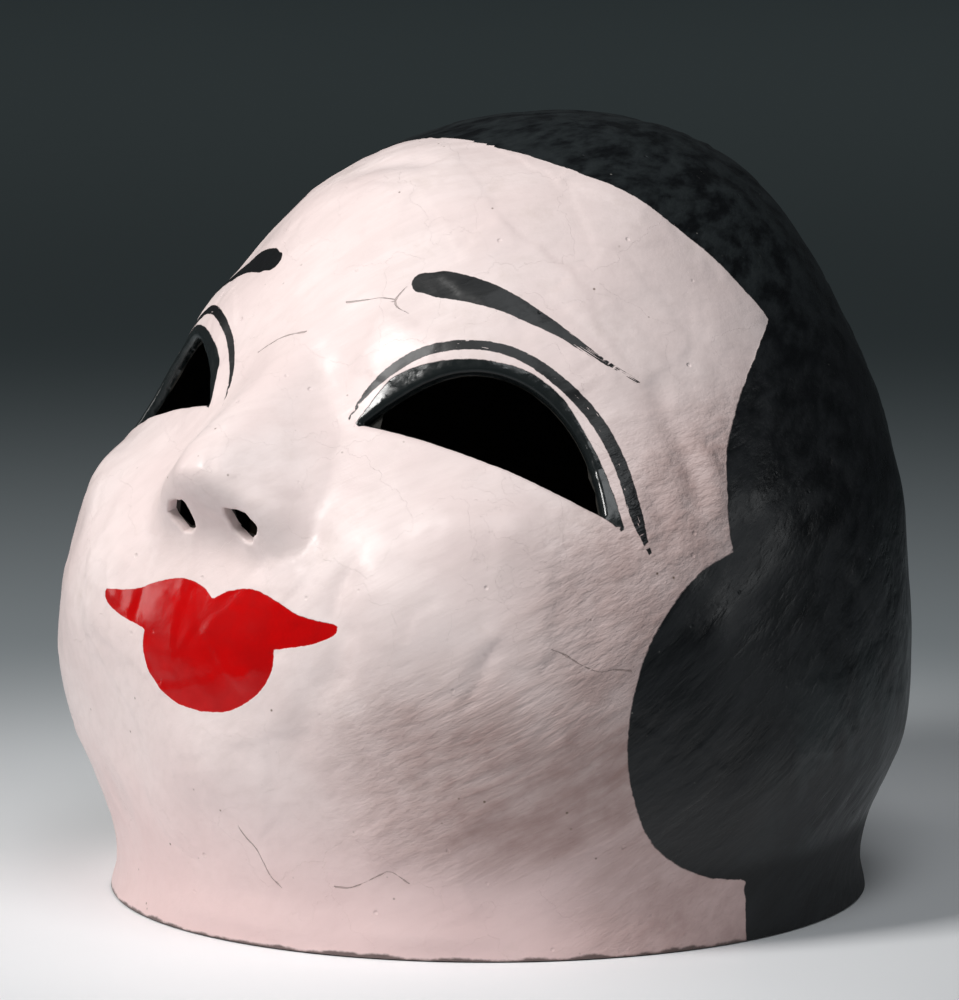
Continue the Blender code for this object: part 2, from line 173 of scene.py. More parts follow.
def face_relief(across, up, forward):
    side = np.abs(across)
    relief = nose_relief(side, up)
    for height, x, v, half_width, half_height in FACE_FORMS.values():
        relief += height * np.exp(-((side - x) / half_width)**2 - ((up - v) / half_height)**2)
    return relief * smooth_step(20.0, 70.0, forward)


def head_points(share, turn):
    """Points of the finished outer surface, in mm."""
    points = bare_form(share, turn)
    across, up, forward = face_chart(points)
    return points + face_relief(across, up, forward)[:, None] * face_axes()[0]


def head_normals(share, turn):
    step = 1e-3
    share = np.clip(share, 0.0, 1.0 - 2.0 * step)
    along = head_points(share + step, turn) - head_points(share - step, turn)
    around = head_points(share, turn + step) - head_points(share, turn - step)
    normal = np.cross(around, along)
    return normal / np.linalg.norm(normal, axis=1, keepdims=True)


def solve_form(target, guess_share, guess_turn, measure):
    """Share and turn at which measure(bare form) meets the two targets, by Newton's method."""
    share, turn = guess_share.copy(), guess_turn.copy()
    step = 1e-4
    for _ in range(25):
        here = measure(bare_form(share, turn))
        by_share = (measure(bare_form(share + step, turn)) - here) / step
        by_turn = (measure(bare_form(share, turn + step)) - here) / step
        miss = target - here
        scale = by_share[:, 0] * by_turn[:, 1] - by_share[:, 1] * by_turn[:, 0]
        share += np.clip((miss[:, 0] * by_turn[:, 1] - miss[:, 1] * by_turn[:, 0]) / scale, -0.05, 0.05)
        turn += np.clip((by_share[:, 0] * miss[:, 1] - by_share[:, 1] * miss[:, 0]) / scale, -0.2, 0.2)
    return share, turn


def on_face(places):
    """Surface points at places given across and up the face."""
    places = np.asarray(places, float)

    def measure(points):
        x, v, _ = face_chart(points)
        return np.column_stack([x, v])

    share, turn = solve_form(places, 0.45 + places[:, 1] / 500.0, places[:, 0] / 150.0, measure)
    return head_points(share, turn)


def world(points):
    return (np.asarray(points, float) + np.array([0.0, FRAME_SHIFT, 0.0])) * MM


# ---------------------------------------------------------------- noise and curves
def lattice_value(cell, seed):
    """A repeatable value from -1 to 1 at each whole point of a grid."""
    mixed = cell[:, 0] * 374761393 + cell[:, 1] * 668265263 + cell[:, 2] * 1442695041 + seed * 974634777
    mixed &= 0xFFFFFFFF
    mixed = ((mixed ^ (mixed >> 13)) * 1274126177) & 0xFFFFFFFF
    mixed ^= mixed >> 16
    return mixed / 2147483647.5 - 1.0


def noise(points, size, seed):
    """Smooth noise from -1 to 1 with lumps about size across."""
    scaled = points / size
    base = np.floor(scaled).astype(np.int64)
    part = scaled - base
    part = part * part * part * (part * (part * 6.0 - 15.0) + 10.0)
    total = np.zeros(len(points))
    for corner in range(8):
        step = np.array([corner & 1, corner >> 1 & 1, corner >> 2])
        weight = np.prod(np.where(step, part, 1.0 - part), axis=1)
        total += weight * lattice_value(base + step, seed)
    return total


def smooth_curve(controls, steps=10):
    """A Catmull-Rom curve through the controls."""
    controls = np.array(controls, float)
    ends = np.vstack([2.0 * controls[0] - controls[1], controls, 2.0 * controls[-1] - controls[-2]])
    share = np.linspace(0.0, 1.0, steps, endpoint=False)[:, None]
    runs = []
    for a, b, c, d in zip(ends[:-3], ends[1:-2], ends[2:-1], ends[3:]):
        runs.append(0.5 * (2.0 * b + (c - a) * share + (2.0 * a - 5.0 * b + 4.0 * c - d) * share**2
                           + (3.0 * b - a - 3.0 * c + d) * share**3))
    return np.vstack(runs + [controls[-1:]])


def nearest_on_line(points, line, closed=False):
    """Distance to a polyline, share of its length and the offset from it, for each point."""
    if closed:
        line = np.vstack([line, line[:1]])
    steps = np.linalg.norm(np.diff(line, axis=0), axis=1)
    start = np.concatenate([[0.0], np.cumsum(steps)])
    best = np.full(len(points), 1e9)
    share = np.zeros(len(points))
    offset = np.zeros_like(points)
    heading = np.zeros_like(points)
    for a, b, length, begin in zip(line[:-1], line[1:], steps, start):
        along = np.clip((points - a) @ (b - a) / length**2, 0.0, 1.0)
        away = points - (a + along[:, None] * (b - a))
        distance = np.linalg.norm(away, axis=1)
        nearer = distance < best
        best[nearer] = distance[nearer]
        share[nearer] = (begin + along[nearer] * length) / start[-1]
        offset[nearer] = away[nearer]
        heading[nearer] = (b - a) / length
    return best, share, offset, heading


def inside_outline(across, up, outline):
    """Even-odd test of each place against a closed outline."""
    inside = np.zeros(len(across), bool)
    for (x0, y0), (x1, y1) in zip(outline, np.roll(outline, -1, axis=0)):
        if y0 == y1:
            continue
        crosses = (y0 > up) != (y1 > up)
        inside ^= crosses & (across < x0 + (up - y0) / (y1 - y0) * (x1 - x0))
    return inside


FAR = 60.0
FACE_BACK = 60.0
FACE_REACH = 130.0


def near_line(points, line):
    """Which points are on the front of the head and within reach of a line drawn there."""
    return (points[:, 1] < FACE_BACK) & (np.linalg.norm(points - line.mean(axis=0), axis=1) < FACE_REACH)


def outline_field(points, outline):
    """Signed distance to an outline drawn on the face, above zero inside it."""
    line = on_face(outline)
    near = near_line(points, line)
    field = np.full(len(points), -FAR)
    distance, _, _, _ = nearest_on_line(points[near], line, closed=True)
    across, up, _ = face_chart(points[near])
    sign = np.where(inside_outline(across, up, outline), 1.0, -1.0)
    field[near] = np.clip(sign * distance, -FAR, FAR)
    return field


def stroke_field(points, normals, controls, shift=0.0):
    """Signed and plain distance from a stroke's middle line, and the share of the way along it."""
    line = on_face(smooth_curve(controls) + np.array([shift, 0.0]))
    near = near_line(points, line)
    field = np.full(len(points), FAR)
    plain = np.full(len(points), FAR)
    share = np.zeros(len(points))
    distance, part, offset, heading = nearest_on_line(points[near], line)
    side = np.einsum("ij,ij->i", np.cross(heading, normals[near]), offset)
    plain[near] = np.minimum(distance, FAR)
    field[near] = np.where(side < 0.0, -plain[near], plain[near])
    share[near] = part
    return field, plain, share


# ---------------------------------------------------------------- painted outlines, in mm on the face
HAIR_LOW = -17.5
BOB_BOTTOM = 25.0
BOB_TOP = 154.0
TEMPLE = (31.0, 236.0)
CROWN_LINE = (-18.0, 298.5)
BOB_EDGE = -20.0
BOB_BULGE = 64.0
BOB_MARGIN = 1.5
TEMPLE_START = -33.5
TEMPLE_BEND = 2.15
CROWN_BEND = 1.25
BROW = [(38.0, 75.4), (46.0, 76.4), (57.0, 76.6), (72.0, 74.4), (87.0, 69.8), (100.0, 64.4), (113.5, 60.0)]
LINER = [(32.5, 13.0), (37.6, 29.8), (53.2, 48.2), (78.0, 56.2), (102.4, 45.6), (120.4, 27.2), (132.6, 9.2),
         (141.0, -5.0)]
RIM_TOP = [(38.8, 11.5), (41.0, 19.0), (46.0, 33.0), (56.0, 42.0), (71.0, 48.8), (87.0, 50.6), (100.5, 44.8),
           (112.5, 32.5), (125.5, 17.0), (138.0, -1.5)]
STROKE_SHIFT = 3.0        # the painter set the brush lines this far to the mask's left
LIP_CENTRE = 3.0
RIM_BELOW = 0.9
LIP_TOP = [(0.0, -65.5), (7.0, -61.2), (18.0, -59.2), (30.0, -61.7), (43.0, -65.8), (59.5, -66.6)]
LIP_UNDER = [(59.5, -66.6), (58.5, -70.5), (50.0, -75.2), (33.0, -80.2)]
LIP_LOW = [(33.0, -80.2), (33.0, -87.5), (27.0, -97.0), (14.0, -105.0), (0.0, -107.2)]


def hair_edge(height):
    """Y of the painted hairline on the side of the head, at each height."""
    bob = BOB_TOP - BOB_BOTTOM
    middle = (BOB_TOP + BOB_BOTTOM) / 2.0 + BOB_MARGIN
    round_part = np.sqrt(np.clip(1.0 - ((height - middle) / (bob / 2.0 + BOB_MARGIN))**2, 0.0, 1.0))
    rise = np.clip((height - BOB_TOP) / (TEMPLE[1] - BOB_TOP), 0.0, 1.0)
    fall = np.clip((height - TEMPLE[1]) / (CROWN_LINE[1] - TEMPLE[1]), 0.0, 1.0)
    temple = TEMPLE_START + (TEMPLE[0] - TEMPLE_START) * rise**TEMPLE_BEND
    crown = TEMPLE[0] + (CROWN_LINE[0] - TEMPLE[0]) * fall**CROWN_BEND
    edge = np.where(height < BOB_TOP, BOB_EDGE - BOB_BULGE * round_part, temple)
    edge = np.where(height > TEMPLE[1], crown, edge)
    return np.where(height < BOB_BOTTOM, HAIR_LOW, edge)


def hair_field(points):
    """Signed distance to the hairline seen from the side, above zero in the hair."""
    below = np.linspace(-20.0, BOB_BOTTOM, 6)
    height = np.concatenate([below, np.linspace(BOB_BOTTOM + 0.3, CROWN_LINE[1], 150)])
    line = np.column_stack([np.zeros_like(height), hair_edge(height), height])
    flat = points * np.array([0.0, 1.0, 1.0])
    distance, _, _, _ = nearest_on_line(flat, line)
    sign = np.where(flat[:, 1] > hair_edge(np.minimum(flat[:, 2], CROWN_LINE[1])), 1.0, -1.0)
    return np.clip(sign * distance, -FAR, FAR)


def eye_outline():
    """The left eye's crescent opening, counted round once."""
    share = np.linspace(0.0, 1.0, 41)
    share = share * share * (3.0 - 2.0 * share)
    inner, outer = np.array(EYE_INNER), np.array(EYE_OUTER)
    lower = inner + (outer - inner) * share[:, None]
    bow = 4.0 * share * (1.0 - share)
    upper = lower + np.column_stack([np.zeros_like(bow), EYE_ARCH * bow])
    lower += np.column_stack([np.zeros_like(bow), EYE_LID * bow])
    return np.vstack([lower[:-1], upper[:0:-1]])


def nostril_outline():
    """The left nostril, a torn oval."""
    angle = np.linspace(0.0, 2.0 * math.pi, 36, endpoint=False)
    tear = 1.0 + 0.09 * np.sin(3.0 * angle + 0.7) + 0.06 * np.sin(5.0 * angle + 2.0)
    tear += 0.05 * np.sin(9.0 * angle)
    across = NOSTRIL[0] + 1.25 * NOSTRIL_RADIUS * tear * np.cos(angle)
    up = NOSTRIL[1] + 0.8 * NOSTRIL_RADIUS * tear * np.sin(angle)
    return np.column_stack([across, up])


def rim_outline():
    """The black lacquer round the left eye: a band over the top that closes along the lower lid."""
    share = np.linspace(1.0, 0.0, 24)[:, None]
    lower = np.array(EYE_INNER) + (np.array(EYE_OUTER) - np.array(EYE_INNER)) * share
    lower[:, 1] += (EYE_LID * 4.0 * share * (1.0 - share))[:, 0] - RIM_BELOW
    return np.vstack([smooth_curve(RIM_TOP), lower])


def lip_outline():
    half = np.vstack([smooth_curve(LIP_TOP)[:-1], smooth_curve(LIP_UNDER)[:-1], smooth_curve(LIP_LOW)])
    other = half[::-1][1:-1] * np.array([-1.0, 1.0])
    return np.vstack([half, other]) + np.array([LIP_CENTRE, 0.0])


# ---------------------------------------------------------------- relief of the paper
PATCH_SEED = 7
PATCH_COUNT = 150
PATCH_HALF_LENGTH = (14.0, 34.0)
PATCH_HALF_WIDTH = (9.0, 18.0)
PATCH_THICKNESS = (0.15, 0.38)
PATCH_MEAN = 0.35
EDGE_FADE = 14.0
RELIEF_FADE = 10.0
# height and size of the lumps of the form, from the broadest down
LUMPS = [(1.9, 72.0), (1.15, 42.0), (0.5, 23.0), (0.22, 11.0), (0.07, 4.5)]
# places on the face, (across, up) ends, half width, depth: pressed creases and soft folds
CREASES = [
    ((63.0, -50.0), (60.0, -63.0), 5.0, 1.3),
    ((66.0, -70.0), (64.0, -84.0), 7.0, 1.9),
    ((56.0, -92.0), (46.0, -110.0), 8.0, 1.4),
    ((115.0, -62.0), (109.0, -80.0), 4.0, 1.2),
    ((36.0, -24.0), (44.0, -36.0), 6.0, 1.2),
    ((133.0, 44.0), (146.0, 22.0), 4.5, 1.5),
    ((141.0, 40.0), (150.0, 24.0), 3.5, -1.0),
    ((136.0, 20.0), (146.0, 2.0), 5.0, 1.2),
    ((122.0, 60.0), (128.0, 48.0), 5.0, 1.0),
    ((-20.0, 124.0), (4.0, 129.0), 7.0, 1.6),
    ((-92.0, -38.0), (-98.0, -52.0), 7.0, 1.0),
    ((30.0, -46.0), (20.0, -50.0), 5.0, 0.8),
]
# hairline cracks, along points given across and up the face
CRACKS = [
    [(131.0, -52.5), (134.5, -53.2), (138.0, -54.6), (142.0, -54.8), (145.0, -52.0), (148.5, -50.0)],
    [(14.0, -143.0), (17.0, -146.5), (20.5, -149.5), (24.0, -156.5), (28.0, -160.0)],
    [(50.5, -155.5), (56.0, -154.5), (61.0, -152.0), (68.0, -147.5), (72.5, -145.0), (78.0, -147.0)],
    [(36.0, 72.0), (35.0, 66.0), (37.0, 63.0), (42.0, 61.5)],
    [(35.0, 66.0), (29.0, 65.5), (24.0, 63.6), (16.0, 61.0)],
    [(-20.0, 36.0), (-12.0, 41.0), (-6.0, 43.5), (3.0, 46.0)],
]
# torn edges of the top layer of paper: (across, up) along the edge, then the step's height
PAPER_EDGES = [
    ([(124.0, -22.0), (128.4, -34.0), (128.5, -43.0), (131.0, -52.5), (127.0, -64.0)], 0.55),
    ([(137.0, -14.0), (140.5, -27.5), (141.0, -40.0), (144.0, -51.0)], -0.5),
    ([(118.0, -52.0), (114.0, -62.0), (112.0, -72.0), (106.0, -84.0)], 0.7),
    ([(100.0, -48.0), (92.0, -56.0), (90.0, -68.0)], -0.4),
    ([(134.0, -72.0), (136.0, -84.0), (142.0, -92.0)], 0.5),
    ([(66.0, -38.0), (63.5, -48.0), (61.5, -60.0), (64.0, -72.0)], -0.55),
    ([(24.0, -48.0), (34.0, -47.0), (42.0, -42.0), (45.0, -33.0)], 0.5),
    ([(98.0, -128.0), (96.0, -140.0), (99.0, -152.0)], 0.45),
    ([(-40.0, -132.0), (-30.0, -150.0), (-10.0, -158.0)], -0.4),
    ([(-62.0, 66.0), (-48.0, 58.0), (-40.0, 46.0)], 0.5),
]


def pressed(points, ends, half_width, depth):
    line = on_face([ends[0], ends[1]])
    near = np.linalg.norm(points - line.mean(axis=0), axis=1) < 60.0
    relief = np.zeros(len(points))
    distance, _, _, _ = nearest_on_line(points[near], line)
    relief[near] = -depth * np.exp(-(distance / half_width)**2)
    return relief


def paper_patches(points):
    """Overlapping torn pieces of paper under the paint, each a thin raised rectangle."""
    random = np.random.default_rng(PATCH_SEED)
    relief = np.zeros(len(points))
    ragged = noise(points, 7.0, 31) * 1.6 + noise(points, 3.0, 32) * 0.7
    for _ in range(PATCH_COUNT):
        share, turn = random.uniform(0.12, 0.98), random.uniform(-math.pi, math.pi)
        angle = random.uniform(0.0, math.pi)
        half = random.uniform(*PATCH_HALF_LENGTH), random.uniform(*PATCH_HALF_WIDTH)
        thick = random.uniform(*PATCH_THICKNESS)
        centre = head_points(np.array([share]), np.array([turn]))[0]
        normal = head_normals(np.array([share]), np.array([turn]))[0]
        level = np.cross([0.0, 0.0, 1.0], normal)
        level /= np.linalg.norm(level)
        first = math.cos(angle) * level + math.sin(angle) * np.cross(normal, level)
        second = np.cross(normal, first)
        local = points - centre
        near = np.einsum("ij,ij->i", local, local) < (half[0] + 12.0)**2
        inside = np.minimum(half[0] - np.abs(local[near] @ first), half[1] - np.abs(local[near] @ second))
        relief[near] += thick * smooth_step(-0.9, 0.9, inside + ragged[near])
    return relief


def paper_edge(points, normals, places, height):
    """A step that is crisp along its line and fades away over the paper behind it."""
    side, plain, share = stroke_field(points, normals, places)
    side = side + 0.5 * noise(points, 5.0, 41) + 0.3 * noise(points, 2.2, 42)
    ends = smooth_step(0.0, 0.15, share) * smooth_step(1.0, 0.85, share) * smooth_step(30.0, 10.0, plain)
    return height * ends * smooth_step(-0.6, 0.6, side) * np.exp(-np.abs(side) / EDGE_FADE)


def paper_relief(points, normals):
    """Height of the hand-laid paper over the smooth form, in mm."""
    relief = np.zeros(len(points))
    for seed, (height, size) in enumerate(LUMPS, 10):
        relief += height * noise(points, size, seed)
    relief += paper_patches(points) - PATCH_MEAN
    for first, last, half_width, depth in CREASES:
        relief += pressed(points, (first, last), half_width, depth)
    for places, height in PAPER_EDGES:
        relief += paper_edge(points, normals, places, height)
    return relief


# ---------------------------------------------------------------- meshes over the form
class Skin:
    """Triangles over the head form; each corner is a share and a turn."""

    def __init__(self, share, turn, faces, band):
        self.share, self.turn, self.faces, self.band = share, turn, faces, band

    def between(self, first, last, part):
        """Places part of the way from some corners to others, across the back and the pole too."""
        turn_a, turn_b = self.turn[first], self.turn[last]
        turn_a = np.where(self.share[first] >= 1.0, turn_b, turn_a)
        turn_b = np.where(self.share[last] >= 1.0, turn_a, turn_b)
        step = (turn_b - turn_a + math.pi) % (2.0 * math.pi) - math.pi
        share = self.share[first] + part * (self.share[last] - self.share[first])
        return share, turn_a + part * step

    def edges(self):
        pairs = np.vstack([self.faces[:, [0, 1]], self.faces[:, [1, 2]], self.faces[:, [2, 0]]])
        return np.unique(np.sort(pairs, axis=1), axis=0)

    def snap(self, values, nearness=0.25):
        """Moves corners that lie close to the zero line of values onto it."""
        first, last = self.edges().T
        crossing = values[first] * values[last] < 0.0
        first, last = first[crossing], last[crossing]
        part = values[first] / (values[first] - values[last])
        for start, end, share in ((first, last, part), (last, first, 1.0 - part)):
            near = share < nearness
            here, there, reach = start[near], end[near], share[near]
            self.share[here], self.turn[here] = self.between(here, there, reach)
            values[here] = 0.0
        return values

    def keep(self, values):
        """The part where values is above zero, cut along its zero line."""
        sign = np.sign(values)[self.faces]
        whole = (sign >= 0.0).all(axis=1) & (sign > 0.0).any(axis=1)
        mixed = (sign > 0.0).any(axis=1) & (sign < 0.0).any(axis=1)
        new_share, new_turn, made, extra, extra_band = [], [], {}, [], []

        def middle(a, b):
            key = (min(a, b), max(a, b))
            if key not in made:
                low, high = key
                part = values[low] / (values[low] - values[high])
                share, turn = self.between(np.array([low]), np.array([high]), part)
                made[key] = len(self.share) + len(new_share)
                new_share.append(share[0])
                new_turn.append(turn[0])
            return made[key]

        for face, signs, band in zip(self.faces[mixed].tolist(), sign[mixed].tolist(), self.band[mixed]):
            if 0.0 in signs:
                turn = signs.index(0.0)
            else:
                turn = signs.index(1.0 if signs.count(1.0) == 1 else -1.0)
            a, b, c = face[turn:] + face[:turn]
            sa, sb, _ = signs[turn:] + signs[:turn]
            if sa == 0.0:
                found = [(a, b, middle(b, c))] if sb > 0.0 else [(a, middle(b, c), c)]
            elif sa > 0.0:
                found = [(a, middle(a, b), middle(a, c))]
            else:
                found = [(middle(a, b), b, c), (middle(a, b), c, middle(a, c))]
            extra += found
            extra_band += [band] * len(found)
        faces = np.vstack([self.faces[whole], np.array(extra, int).reshape(-1, 3)])
        band = np.concatenate([self.band[whole], np.array(extra_band, self.band.dtype)])
        share = np.concatenate([self.share, new_share])
        turn = np.concatenate([self.turn, new_turn])
        return Skin(share, turn, faces, band).compact()

    def compact(self):
        used, faces = np.unique(self.faces, return_inverse=True)
        return Skin(self.share[used], self.turn[used], faces.reshape(-1, 3), self.band)

    def take(self, chosen):
        return Skin(self.share, self.turn, self.faces[chosen], self.band[chosen]).compact()

    def points(self):
        return head_points(self.share, self.turn)

    def normals(self):
        return head_normals(self.share, self.turn)


def share_at_height(height):
    low, high = 0.0, 1.0
    for _ in range(40):
        middle = (low + high) / 2.0
        if section_at(np.array([middle]))[0, 0] < height:
            low = middle
        else:
            high = middle
    return (low + high) / 2.0


def skin_grid(levels, steps, columns, front):
    """A closed skin between the given heights; steps rings in each band, then a pole at the crown."""
    shares = [share_at_height(level) for level in levels] + [1.0]
    rings, bands = [], []
    for index, (low, high) in enumerate(zip(shares[:-1], shares[1:])):
        rings += list(np.linspace(low, high, steps[index], endpoint=False))
        bands += [index] * steps[index]
    part = (np.arange(columns) + 0.5) / columns * 2.0 - 1.0
    turns = math.pi * (front * part + (1.0 - front) * part**3)
    share = np.append(np.repeat(rings, columns), 1.0)
    turn = np.append(np.tile(turns, len(rings)), 0.0)
    row = np.arange(len(rings) - 1)[:, None] * columns
    here = np.arange(columns)[None, :]
    after = (here + 1) % columns
    a, b = (row + here).ravel(), (row + after).ravel()
    c, d = b + columns, a + columns
    flip = ((row // columns + here) % 2 == 0).ravel()
    first = np.where(flip[:, None], np.column_stack([a, b, c]), np.column_stack([a, b, d]))
    second = np.where(flip[:, None], np.column_stack([a, c, d]), np.column_stack([b, c, d]))
    last = (len(rings) - 1) * columns
    cap = np.column_stack([last + here.ravel(), last + after.ravel(), np.full(columns, len(share) - 1)])
    faces = np.vstack([first, second, cap])
    band = np.repeat(np.array(bands)[:-1], columns)
    band = np.concatenate([band, band, np.full(columns, bands[-1])])
    return Skin(share, turn, faces, band)


def loops_of(faces):
    """Each open edge loop as an ordered list of corners, faces on its left."""
    forward = {}
    edges = set(map(tuple, np.vstack([faces[:, [0, 1]], faces[:, [1, 2]], faces[:, [2, 0]]]).tolist()))
    for a, b in edges:
        if (b, a) not in edges:
            forward[a] = b
    loops = []
    while forward:
        start = min(forward)
        loop = [start]
        step = forward.pop(start)
        while step != start:
            loop.append(step)
            step = forward.pop(step)
        loops.append(np.array(loop))
    return loops


def zip_loops(points, outer, inner):
    """Triangles between two loops that run the same way, facing out of the wall's cut edge."""
    start = np.argmin(np.linalg.norm(points[inner] - points[outer[0]], axis=1))
    inner = np.roll(inner, -start)
    i, j, faces = 0, 0, []
    a, b = points[outer], points[inner]
    m, n = len(outer), len(inner)
    while i < m or j < n:
        step_outer = np.linalg.norm(a[(i + 1) % m] - b[j % n]) if i < m else 1e9
        step_inner = np.linalg.norm(b[(j + 1) % n] - a[i % m]) if j < n else 1e9
        if step_outer <= step_inner:
            faces.append((outer[(i + 1) % m], outer[i % m], inner[j % n]))
            i += 1
        else:
            faces.append((inner[j % n], inner[(j + 1) % n], outer[i % m]))
            j += 1
    return faces


SHARP_ANGLE = 35.0


def add_object(name, data):
    made = bpy.data.objects.new(name, data)
    bpy.context.scene.collection.objects.link(made)
    return made


def place_piece(piece, node):
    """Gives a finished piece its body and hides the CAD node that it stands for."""
    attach(piece, "root")
    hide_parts(node)
    return piece


def mesh_object(name, points, faces, attributes, materials, face_material=None):
    mesh = bpy.data.meshes.new(name)
    mesh.from_pydata(world(points).tolist(), [], np.asarray(faces).tolist())
    for key, values in attributes.items():
        made = mesh.attributes.new(key, "FLOAT", "POINT")
        made.data.foreach_set("value", np.asarray(values, np.float32))
    for item in materials:
        mesh.materials.append(item)
    if face_material is not None:
        mesh.polygons.foreach_set("material_index", np.asarray(face_material, np.int32))
    mesh.shade_smooth()
    mesh.set_sharp_from_angle(angle=math.radians(SHARP_ANGLE))
    mesh.update()
    return add_object(name, mesh)


def face_fields(points, normals):
    """Paint layout at each point: signed distances and shares along the strokes, in mm."""
    fields = {"hair": hair_field(points), "lips": outline_field(points, lip_outline())}
    for name, controls in (("liner", LINER), ("brow", BROW)):
        found = None
        for side in (1.0, -1.0):
            flip = np.array([side, 1.0, 1.0])
            made = stroke_field(points * flip, normals * flip, controls, side * STROKE_SHIFT)
            nearer = side * points[:, 0] > 0.0
            found = made if found is None else [np.where(nearer, a, b) for a, b in zip(made, found)]
        fields[name], fields[name + "_reach"], fields[name + "_share"] = found
    rims = [outline_field(points * np.array([side, 1.0, 1.0]), rim_outline()) for side in (1.0, -1.0)]
    fields["rim"] = np.maximum(rims[0], rims[1])
    fields["cracks"] = np.full(len(points), FAR)
    fields["cracks_reach"] = np.full(len(points), FAR)
    for places in CRACKS:
        signed, plain, _ = stroke_field(points, normals, places)
        nearer = plain < fields["cracks_reach"]
        fields["cracks"] = np.where(nearer, signed, fields["cracks"])
        fields["cracks_reach"] = np.where(nearer, plain, fields["cracks_reach"])
    return fields


EYE_ROLL = 2.6
NOSTRIL_ROLL = 1.2
HOLE_EDGE = 0.1
HOLE_NEAR = 12.0
ROLL_ANGLES = (22.5, 45.0, 67.5, 90.0)
HOLE_LOOP_LIMIT = 900
FOOT_LEVEL = 0.5


def mirrored_outline(outline, side):
    return outline * np.array([side, 1.0])


def off_zero(values):
    """The values, with any at zero moved just off it."""
    return np.where(np.abs(values) < 1e-9, 1e-9, values)


def cut_openings(skin, roll_eye, roll_nostril):
    """Cuts the eyes and nostrils, their outlines grown by the radius that their edge rolls in."""
    for outline, roll in ((eye_outline(), roll_eye), (nostril_outline(), roll_nostril)):
        for side in (1.0, -1.0):
            values = -outline_field(skin.points(), mirrored_outline(outline, side)) - roll
            skin = skin.keep(skin.snap(off_zero(values)))
    return skin


def hole_centres():
    centres = []
    for outline, roll in ((eye_outline(), EYE_ROLL), (nostril_outline(), NOSTRIL_ROLL)):
        for side in (1.0, -1.0):
            centres.append((on_face(mirrored_outline(outline, side)).mean(axis=0), roll))
    return centres


def edge_roll(loop, middle, holes):
    """The radius that a loop's edge rolls in by, or nothing round the shell's own rim."""
    roll = 0.0
    for centre, radius in holes:
        if len(loop) < HOLE_LOOP_LIMIT and np.linalg.norm(middle - centre) < HOLE_NEAR:
            roll = radius
    return roll


def rolled_edge(points, normals, loop, roll):
    """Rows of an edge that rolls in at the surface and then runs through the wall, and how far in."""
    tangent = points[np.roll(loop, -1)] - points[np.roll(loop, 1)]
    tangent /= np.linalg.norm(tangent, axis=1, keepdims=True)
    normal = normals[loop]
    away = np.cross(tangent, normal)
    profile = [(roll * math.sin(angle), roll * (1.0 - math.cos(angle))) for angle in np.radians(ROLL_ANGLES)]
    profile.append((roll, WALL - HOLE_EDGE))
    return [(side, points[loop] + away * side - normal * deep) for side, deep in profile]


def build_shell(name, outer, inner, materials, holes):
    """One closed shell: detailed outer skin, rolled edges at the holes, coarser inner skin."""
    smooth = outer.points()
    normals = outer.normals()
    relief = paper_relief(smooth, normals) * smooth_step(0.0, RELIEF_FADE, smooth[:, 2])
    points = smooth + normals * relief[:, None]
    attributes = face_fields(smooth, normals)
    parts = [points]
    fields = {key: [values] for key, values in attributes.items()}
    faces = [outer.faces]
    face_material = [np.zeros(len(outer.faces), int)]
    count = len(points)
    inner_smooth = inner.points()
    inner_points = inner_smooth - inner.normals() * WALL
    at_foot = inner_smooth[:, 2] < FOOT_LEVEL
    inner_points[:, 2] = np.where(at_foot, inner_smooth[:, 2], inner_points[:, 2])
    inner_loops = loops_of(inner.faces)
    joins = []
    for loop in loops_of(outer.faces):
        middle = points[loop].mean(axis=0)
        ring = loop
        roll = edge_roll(loop, middle, holes)
        if roll:
            for side, made in rolled_edge(points, normals, loop, roll):
                index = np.arange(count, count + len(loop))
                count += len(loop)
                parts.append(made)
                for key, values in fields.items():
                    shift = side if key in ("rim", "lips", "hair") else 0.0
                    values.append(attributes[key][loop] + shift)
                after = np.roll(index, -1)
                before = np.roll(ring, -1)
                faces.append(np.vstack([np.column_stack([before, ring, index]),
                                        np.column_stack([before, index, after])]))
                face_material.append(np.zeros(2 * len(loop), int))
                ring = index
        joins.append((ring, middle))
    base = count
    parts.append(inner_points)
    for key, values in fields.items():
        values.append(np.full(len(inner_points), -FAR if key in ("hair", "lips", "rim") else FAR))
    all_points = np.vstack(parts)
    faces.append(inner.faces[:, ::-1] + base)
    face_material.append(np.ones(len(inner.faces), int))
    centres = [all_points[base + loop].mean(axis=0) for loop in inner_loops]
    for ring, middle in joins:
        match = int(np.argmin([np.linalg.norm(centre - middle) for centre in centres]))
        walls = zip_loops(all_points, ring, inner_loops[match] + base)
        faces.append(np.array(walls))
        face_material.append(np.ones(len(walls), int))
    merged = {key: np.concatenate(values) for key, values in fields.items()}
    return mesh_object(name, all_points, np.vstack(faces), merged, materials, np.concatenate(face_material))


